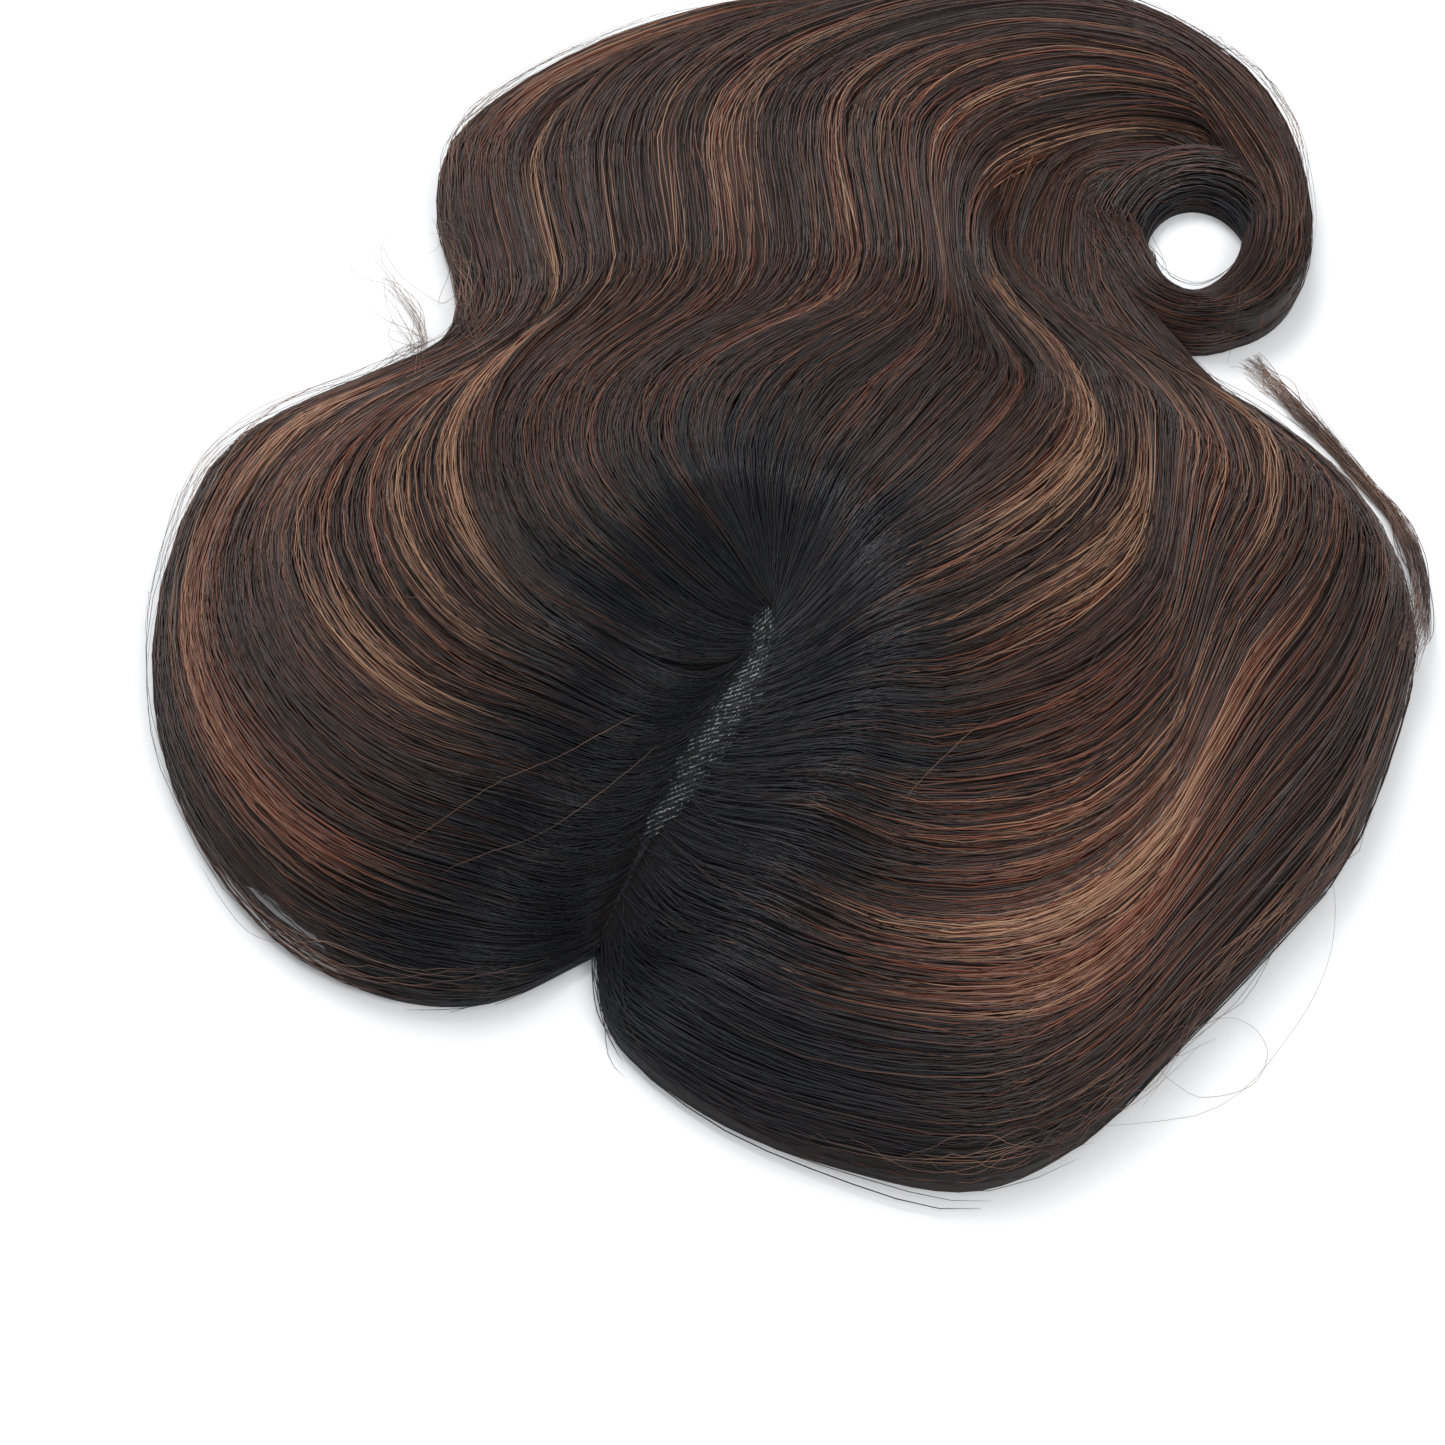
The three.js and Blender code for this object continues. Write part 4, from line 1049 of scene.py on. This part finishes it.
def net_material(colours):
    """Fine black net: dark threads on a fine diagonal mesh."""
    material, tree, surface = shader("base_net")
    turned = add_node(tree, "ShaderNodeMapping", {
        "Vector": object_place(tree), "Rotation": (0, 0, math.radians(45)),
    })
    axes = parts_of(tree, out(turned))
    thread_pitch = 0.0013
    threads = [
        calculate(tree, "SINE", calculate(tree, "MULTIPLY", out(axes, axis), 2 * math.pi / thread_pitch))
        for axis in ("X", "Y")
    ]
    weave = calculate(tree, "MAXIMUM", *threads)
    share = remap(tree, weave, 0.2, 0.95, 0.0, 1.0)
    finish(tree, surface, mixed(tree, share, (*colours.net_shade, 1), (*colours.net_thread, 1)), 0.8)
    bump(tree, surface, weave, 0.5, 0.0003)
    return material


def clip_material(colours):
    """Satin black paint with a slight orange-peel relief and worn spots."""
    material, tree, surface = shader("clip_paint")
    noise = noise_at(tree, object_place(tree), 900.0, 2.0)
    wear = remap(tree, noise, 0.55, 0.75, 0.0, 0.5)
    finish(tree, surface, mixed(tree, wear, (*colours.clip_paint, 1), (*colours.clip_wear, 1)), 0.32)
    bump(tree, surface, noise, 0.15, 0.0001)
    return material


def lace_ground_material(colours):
    """Dark ground with the fine holes of the net as a fine relief."""
    material, tree, surface = shader("lace_ground")
    cells = add_node(tree, "ShaderNodeTexVoronoi", {"Vector": object_place(tree), "Scale": 900.0})
    share = remap(tree, out(cells, "Distance"), 0.2, 0.6, 0.0, 1.0)
    finish(tree, surface, mixed(tree, share, (*colours.net_shade, 1), (*colours.lace_ground, 1)), 0.85)
    bump(tree, surface, share, 0.5, 0.0002)
    return material


def lace_thread_material(colours):
    """Pale threads, some of them brighter than others."""
    material, tree, surface = shader("lace_thread")
    share = remap(tree, attribute(tree, "glint", "Fac"), 0.15, 0.95, 0.0, 1.0)
    finish(tree, surface, mixed(tree, share, (*colours.lace_ground, 1), (*colours.lace_thread, 1)), 0.45)
    return material


def loose_hair_material(colours):
    """Single hairs that change from brown to light along their length."""
    material, tree, surface = shader("loose_hair")
    share = remap(tree, noise_at(tree, object_place(tree), 60.0, 1.0), 0.35, 0.75, 0.0, 1.0)
    finish(tree, surface, mixed(tree, share, (*colours.brown, 1), (*colours.loose, 1)), 0.35)
    return material


def lace_reach(t):
    """Half the width of the lace that shows, narrower towards both ends."""
    fade = smooth_step((t - LACE_START) / 0.08) * smooth_step((LACE_END - t) / 0.15)
    return smooth_values(PART_LINE[:, 2], t).ravel() * fade + LACE_MARGIN


def lace_ground():
    """The net ground: a thin closed strip that follows the dome under the part."""
    t, across = grid_shares(np.linspace(LACE_START, LACE_END, LACE_ROWS), np.linspace(-1, 1, LACE_COLUMNS))
    middle, _, side = part_frame(t)
    place = middle + side * (across * lace_reach(t))[:, None]
    under = base_top(place) + LACE_RISE
    place = place + SHIFT
    lower = np.column_stack([place, under])
    upper = np.column_stack([place, under + LACE_THICKNESS])
    return closed_shell("parting_lace_ground", lower, upper, LACE_ROWS, LACE_COLUMNS)


def lace_places(sizes):
    """Points where the pale threads lie, in staggered rows, each with the way it points."""
    pitch = sizes.lace_pitch
    fine = np.linspace(LACE_START, LACE_END, 400)
    run = np.concatenate([[0], np.cumsum(np.linalg.norm(np.diff(part_middle(fine), axis=0), axis=1))])
    rows = np.arange(0, run[-1], pitch / 2)
    t = np.interp(rows, run, fine)
    middle, flow, side = part_frame(t)
    reach = lace_reach(t)
    points = []
    ways = []
    for row in range(len(rows)):
        offset = pitch * 0.42 if row % 2 else 0.0
        columns = np.arange(-8, 9) * pitch * 0.84 + offset
        for column in columns[np.abs(columns) < reach[row]]:
            place = middle[row] + side[row] * column
            height = base_top(place[None])[0] + LACE_RISE + LACE_THICKNESS
            points.append((*(place + SHIFT), height))
            way = flow[row] * math.cos(THREAD_TURN) + side[row] * math.sin(THREAD_TURN)
            ways.append((*way, 0.0))
    holder = new_mesh("lace_places", points, [])
    store_vectors(holder.data, "way", ways)
    return holder


LACE_INPUTS = [
    ("Places", "NodeSocketGeometry", None),
    ("Thread Length", "NodeSocketFloat", 0.00085),
    ("Thread Radius", "NodeSocketFloat", 0.00016),
    ("Seed", "NodeSocketInt", 1),
    ("Material", "NodeSocketMaterial", None),
]


def lace_tree():
    """Geometry nodes that set one short bent thread at each place of the lace."""
    tree, given = geometry_tree("topper_lace", LACE_INPUTS)
    half = calculate(tree, "MULTIPLY", out(given, "Thread Length"), 0.5)
    arc = add_node(tree, "GeometryNodeCurveQuadraticBezier", {
        "Resolution": 4,
        "Start": vector(tree, X=calculate(tree, "MULTIPLY", half, -1.0)),
        "Middle": vector(
            tree, Y=calculate(tree, "MULTIPLY", half, 0.5), Z=calculate(tree, "MULTIPLY", half, 0.7),
        ),
        "End": vector(tree, X=half),
    })
    ring = add_node(tree, "GeometryNodeCurvePrimitiveCircle", {
        "Resolution": 5, "Radius": out(given, "Thread Radius"),
    })
    thread = add_node(tree, "GeometryNodeCurveToMesh", {
        "Curve": out(arc), "Profile Curve": out(ring), "Fill Caps": True,
    })
    index = out(add_node(tree, "GeometryNodeInputIndex"))
    points = add_node(tree, "GeometryNodeMeshToPoints", {"Mesh": out(given, "Places")})
    aim = add_node(tree, "FunctionNodeAlignRotationToVector", {
        "Vector": stored(tree, "way"),
    }, axis="X", pivot_axis="Z")
    set_threads = add_node(tree, "GeometryNodeInstanceOnPoints", {
        "Points": out(points), "Instance": out(thread), "Rotation": out(aim),
        "Scale": vector(tree, **{
            axis: chance(tree, given, index, number, 0.7, 1.2) for number, axis in enumerate("XYZ", 1)
        }),
    })
    turned = add_node(tree, "GeometryNodeRotateInstances", {
        "Instances": out(set_threads),
        "Rotation": vector(tree, Z=chance(tree, given, index, 4, -0.45, 0.45)),
    })
    glint = chance(tree, given, index, 5)
    finish_tree(tree, given, store(tree, out(turned), "glint", glint, "FLOAT", "INSTANCE"))
    return tree


def hair_tops():
    """Places all over the tops of the sheets."""
    u, v = grid_shares(np.linspace(0, 1, 60), np.linspace(0, 1, 140))
    return np.concatenate([SHEETS[name].top(u, v)[0] for name in ("left", "back", "right")])


def surface_height(place, tops):
    """Height of the hair's top at plan places, or 0 beside it."""
    away = np.hypot(tops[:, None, 0] - place[:, 0], tops[:, None, 1] - place[:, 1])
    return np.where(away < TOP_REACH, tops[:, None, 2], 0).max(axis=0)


def resting_heights(place, lift, tops):
    """Heights of a loose hair along its plan places: over what lies under it, and at rest at both ends."""
    t = np.linspace(0, 1, len(place))
    ground = surface_height(place, tops)
    eased = np.convolve(np.pad(ground, 3, "edge"), np.ones(7) / 7, "valid")
    return np.maximum(eased, ground) + lift * np.sin(np.pi * t) ** 0.5


def single_hairs(tops):
    """Plan places and heights of the single long hairs."""
    t = np.linspace(0, 1, LOOSE_STEPS)
    for shares, lift in LOOSE_HAIRS:
        place = smooth_values(np.array(shares) * SPREAD, t)
        yield place, resting_heights(place, lift, tops)


def fan_hairs(fans, seed, tops):
    """Plan places and heights of the hairs of some fans, each of which strays from the middle its own way."""
    draws = np.random.default_rng(seed)
    for count, rows in fans:
        rows = np.array(rows)
        for _ in range(count):
            start = draws.uniform(-0.05, 0.35)
            end = min(start + draws.uniform(0.45, 0.9), 1.0)
            t = np.linspace(max(start, 0), end, LOOSE_STEPS)
            middle = smooth_values(rows[:, :2] * SPREAD, t)
            flow = np.gradient(middle, axis=0)
            side = np.stack([-flow[:, 1], flow[:, 0]], axis=1) / np.linalg.norm(flow, axis=1)[:, None]
            knots = draws.normal(0, 0.4) + draws.normal(0, 0.75, 5)
            stray = smooth_values(knots, np.linspace(0, 1, LOOSE_STEPS)).ravel()
            reach = smooth_values(rows[:, 2], t).ravel()
            place = middle + side * (stray * reach)[:, None]
            yield place, resting_heights(place, draws.uniform(0.0003, 0.003), tops)


def hair_tubes(name, hairs, radius):
    """One mesh of thin closed tubes, tapered to both ends, along places and heights."""
    curve = bpy.data.curves.new(name, "CURVE")
    curve.dimensions = "3D"
    curve.bevel_depth = radius
    curve.bevel_resolution = 0
    curve.use_fill_caps = True
    thin = 1 - 0.6 * np.abs(np.linspace(-1, 1, LOOSE_STEPS)) ** 3
    for place, height in hairs:
        spline = curve.splines.new("POLY")
        spline.points.add(LOOSE_STEPS - 1)
        for point, spot, z, share in zip(spline.points, place + SHIFT, height, thin):
            point.co = (*spot, max(z, radius * 1.5), 1)
            point.radius = share
    holder = link(name + "_curves", curve)
    graph = bpy.context.evaluated_depsgraph_get()
    mesh = bpy.data.meshes.new_from_object(holder.evaluated_get(graph))
    bpy.data.objects.remove(holder)
    mesh.name = name
    mesh.shade_smooth()
    return link(name, mesh)


def length_property(name, description, default, low, high, precision=5):
    return bpy.props.FloatProperty(
        name=name, description=description, default=default, min=low, max=high, precision=precision,
        unit="LENGTH",
    )


def colour_property(name, description, default):
    return bpy.props.FloatVectorProperty(
        name=name, description=description, default=default, subtype="COLOR", size=3, min=0, max=1,
    )


class TopperSizes(bpy.types.PropertyGroup):
    """Sizes of the strands and locks."""

    strand_radius: length_property(
        "Strand radius", "Half the thickness of one drawn strand", 0.00012, 0.00002, 0.001,
    )
    strand_segments: bpy.props.IntProperty(
        name="Strand segments", description="Straight steps along one strand", default=12, min=4, max=60,
    )
    lock_relief: length_property(
        "Lock relief", "Height of the locks over the smooth top", 0.0012, 0, 0.01, 4,
    )
    loose_radius: length_property(
        "Loose hair radius", "Half the thickness of a single loose hair", 0.00005, 0.00002, 0.001,
    )
    side_lock_radius: length_property(
        "Side lock's hair radius", "Half the thickness of one hair of the side lock", 0.00008, 0.00002, 0.001,
    )
    lace_pitch: length_property(
        "Lace pitch", "From one pale thread of the lace to the next along the part", 0.00125, 0.0005, 0.005,
    )
    thread_length: length_property(
        "Thread length", "Length of one pale thread of the lace", 0.00085, 0.0001, 0.005,
    )
    thread_radius: length_property(
        "Thread radius", "Half the thickness of a pale thread of the lace", 0.00016, 0.00002, 0.001,
    )
    layer_depth: length_property(
        "Layer depth", "How far the topmost strands lie above the mass", 0.0011, 0, 0.01, 4,
    )


class TopperColours(bpy.types.PropertyGroup):
    """Colours of the hair, lace, net and clips."""

    # Also the colour of the painted shade in the hollow round the curl's hole.
    root: colour_property("Roots", "Hair close to the part", (0.0165, 0.0167, 0.0192))
    # Painted shade: the dark colour mixed into the mass between the strands, for the shade that falls there.
    mass_painted_shade: colour_property("Shade", "The mass between the strands", (0.007, 0.0055, 0.0056))
    dark_brown: colour_property("Dark brown", "Darkest hair of the lengths", (0.0115, 0.0068, 0.0062))
    brown: colour_property("Brown", "Lightest plain brown hair", (0.06, 0.0275, 0.0195))
    caramel: colour_property("Caramel", "Light streaks", (0.38, 0.21, 0.125))
    loose: colour_property("Loose hair", "Lightest single loose hairs", (0.29, 0.145, 0.085))
    copper: colour_property("Copper", "Warm streaks", (0.2, 0.062, 0.031))
    lace_thread: colour_property("Lace thread", "Pale threads of the lace", (0.3, 0.31, 0.34))
    lace_ground: colour_property("Lace ground", "Dark ground of the lace", (0.008, 0.008, 0.009))
    net_thread: colour_property("Net thread", "Threads of the base's net", (0.03, 0.03, 0.032))
    net_shade: colour_property("Net shade", "Openings of the base's net", (0.008, 0.008, 0.009))
    clip_paint: colour_property("Clip paint", "Paint of the snap clips", (0.012, 0.012, 0.013))
    clip_wear: colour_property("Clip wear", "Worn paint of the snap clips", (0.06, 0.06, 0.062))


class TopperStage(bpy.types.PropertyGroup):
    """Floor, lights and camera."""

    camera_distance: length_property(
        "Camera distance", "From the camera to the point it looks at", 0.8, 0.1, 5, 2,
    )
    camera_height_angle: bpy.props.FloatProperty(
        name="Camera angle", description="The camera's angle above the floor",
        default=math.radians(52), min=0, max=math.pi / 2, subtype="ANGLE",
    )
    floor: colour_property("Floor", "Colour of the floor", (0.93, 0.94, 0.95))
    daylight: bpy.props.FloatProperty(
        name="Daylight", description="Strength of the even light from all sides", default=0.72, min=0, max=5,
    )


class TOPPER_OT_hair_masses(bpy.types.Operator):
    """Make the masses of hair under the strands"""

    bl_idname = "topper.hair_masses"
    bl_label = "Hair masses"

    def execute(self, context):
        sizes = context.scene.topper_sizes
        material = body_material(context.scene.topper_colours)
        for name in BODY_GRIDS:
            body = hair_body(name, f"hair_{name}_mass", sizes)
            body.data.materials.append(material)
            settle(body, "hair", *(["hair_" + name] if name != "curl" else []))
        return {"FINISHED"}


class TOPPER_OT_strands(bpy.types.Operator):
    """Lay the strands and the fly-away hairs over the masses of hair"""

    bl_idname = "topper.strands"
    bl_label = "Strands"

    def execute(self, context):
        sizes = context.scene.topper_sizes
        material = strand_material(context.scene.topper_colours)
        tree = strand_tree()
        guides = {name: guide_surface(name, sizes) for name in SHEETS}
        for piece, (name, across, along, count, roots, lengths, seed) in STRAND_PIECES.items():
            strands = grow(guides[name], piece, tree, {
                "Strands": count,
                "Segments": sizes.strand_segments,
                "Radius": sizes.strand_radius,
                "Seed": seed,
                "Across From": across[0],
                "Across To": across[1],
                "Along From": along[0],
                "Along To": along[1],
                "Root Share": roots,
                "Length From": lengths[0],
                "Length To": lengths[1],
                "Layer Depth": sizes.layer_depth,
                "Material": material,
                **HABITS.get(piece.split("_", 1)[1], {}),
            })
            settle(strands, "hair")
        for guide in guides.values():
            bpy.data.objects.remove(guide)
        return {"FINISHED"}


class TOPPER_OT_loose_hairs(bpy.types.Operator):
    """Lay the single long hairs that lie across the topper and round it"""

    bl_idname = "topper.loose_hairs"
    bl_label = "Loose hairs"

    def execute(self, context):
        material = loose_hair_material(context.scene.topper_colours)
        sizes = context.scene.topper_sizes
        tops = hair_tops()
        ways = {"loose_hairs": single_hairs(tops)}
        ways.update({name: fan_hairs(fans, 71, tops) for name, fans in HAIR_FANS.items()})
        for name, hairs in ways.items():
            side_lock = name == "side_wisp_hairs"
            piece = hair_tubes(name, hairs, sizes.side_lock_radius if side_lock else sizes.loose_radius)
            piece.data.materials.append(material)
            settle(piece, "hair", *(["side_wisp"] if side_lock else []))
        return {"FINISHED"}


class TOPPER_OT_parting_lace(bpy.types.Operator):
    """Make the lace of the part: a dark net ground with pale threads"""

    bl_idname = "topper.parting_lace"
    bl_label = "Parting lace"

    def execute(self, context):
        colours = context.scene.topper_colours
        ground = lace_ground()
        ground.data.materials.append(lace_ground_material(colours))
        settle(ground, "lace", "parting_lace")
        places = lace_places(context.scene.topper_sizes)
        threads = grow(places, "lace_threads", lace_tree(), {
            "Thread Length": context.scene.topper_sizes.thread_length,
            "Thread Radius": context.scene.topper_sizes.thread_radius,
            "Seed": 5,
            "Material": lace_thread_material(colours),
        })
        bpy.data.objects.remove(places)
        settle(threads, "lace")
        return {"FINISHED"}


class TOPPER_OT_base_finish(bpy.types.Operator):
    """Give the net base and the clips their materials"""

    bl_idname = "topper.base_finish"
    bl_label = "Base and clip finish"

    def execute(self, context):
        colours = context.scene.topper_colours
        net = net_material(colours)
        paint = clip_material(colours)
        finishes = {"base_cap": net}
        finishes.update({name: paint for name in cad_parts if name.startswith("clip_")})
        for name, material in finishes.items():
            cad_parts[name].data.materials.clear()
            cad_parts[name].data.materials.append(material)
        return {"FINISHED"}


class TOPPER_OT_stage(bpy.types.Operator):
    """Make the floor, the lights and the camera"""

    bl_idname = "topper.stage"
    bl_label = "Stage"

    def execute(self, context):
        settings = context.scene.topper_stage
        floor = new_mesh("floor", [(-3, -3, 0), (3, -3, 0), (3, 3, 0), (-3, 3, 0)], [(0, 1, 2, 3)])
        material, _, surface = shader("floor_paper")
        surface.inputs["Base Color"].default_value = (*settings.floor, 1)
        surface.inputs["Roughness"].default_value = 0.9
        floor.data.materials.append(material)
        world = bpy.data.worlds.new("studio")
        world.use_nodes = True
        background = world.node_tree.nodes["Background"]
        background.inputs["Color"].default_value = SKY
        background.inputs["Strength"].default_value = settings.daylight
        context.scene.world = world
        for name, (place, size, power) in SOFT_BOXES.items():
            soft_box(name, place, size, power)
        add_camera(context.scene, settings)
        context.scene.view_settings.view_transform = "Standard"
        return {"FINISHED"}


def aimed(name, data, location, target):
    """A light or the camera at a place, turned towards its target."""
    obj = link(name, data)
    obj.location = location
    way = Vector(target) - Vector(location)
    obj.rotation_euler = way.to_track_quat("-Z", "Y").to_euler()
    return obj


def soft_box(name, place, size, power):
    light = bpy.data.lights.new(name, "AREA")
    light.shape = "DISK"
    light.size = size
    light.energy = power
    aimed(name, light, place, (0, 0, 0))


def add_camera(scene, settings):
    lens = bpy.data.cameras.new("camera")
    lens.lens = LENS
    lens.sensor_width = FILM_WIDTH
    target = Vector(CAMERA_TARGET)
    angle = settings.camera_height_angle
    away = Vector((0, -math.cos(angle), math.sin(angle))) * settings.camera_distance
    scene.camera = aimed("camera", lens, target + away, target)


def settle(piece, slot, *nodes):
    """A finished piece rides with the part and stands for the nodes it replaces. The slot is not used."""
    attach(piece, "root")
    if nodes:
        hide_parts(*nodes)


class TOPPER_PT_panel(bpy.types.Panel):
    """The topper's sizes, colours and pieces"""

    bl_label = "Hair topper"
    bl_space_type = "VIEW_3D"
    bl_region_type = "UI"
    bl_category = "Hair topper"

    def draw(self, context):
        for group in (context.scene.topper_sizes, context.scene.topper_colours, context.scene.topper_stage):
            box = self.layout.box()
            for name in group.__annotations__:
                box.prop(group, name)
        for operator in OPERATORS:
            self.layout.operator(operator.bl_idname)


OPERATORS = (
    TOPPER_OT_hair_masses, TOPPER_OT_strands, TOPPER_OT_loose_hairs, TOPPER_OT_parting_lace,
    TOPPER_OT_base_finish, TOPPER_OT_stage,
)
CLASSES = (TopperSizes, TopperColours, TopperStage, *OPERATORS, TOPPER_PT_panel)


def register():
    for item in CLASSES:
        bpy.utils.register_class(item)
    bpy.types.Scene.topper_sizes = bpy.props.PointerProperty(type=TopperSizes)
    bpy.types.Scene.topper_colours = bpy.props.PointerProperty(type=TopperColours)
    bpy.types.Scene.topper_stage = bpy.props.PointerProperty(type=TopperStage)


def unregister():
    del bpy.types.Scene.topper_stage
    del bpy.types.Scene.topper_colours
    del bpy.types.Scene.topper_sizes
    for item in reversed(CLASSES):
        bpy.utils.unregister_class(item)


def main():
    register()
    bpy.ops.topper.hair_masses()
    bpy.ops.topper.strands()
    bpy.ops.topper.loose_hairs()
    bpy.ops.topper.parting_lace()
    bpy.ops.topper.base_finish()
    bpy.ops.topper.stage()


if __name__ == "__main__":
    main()
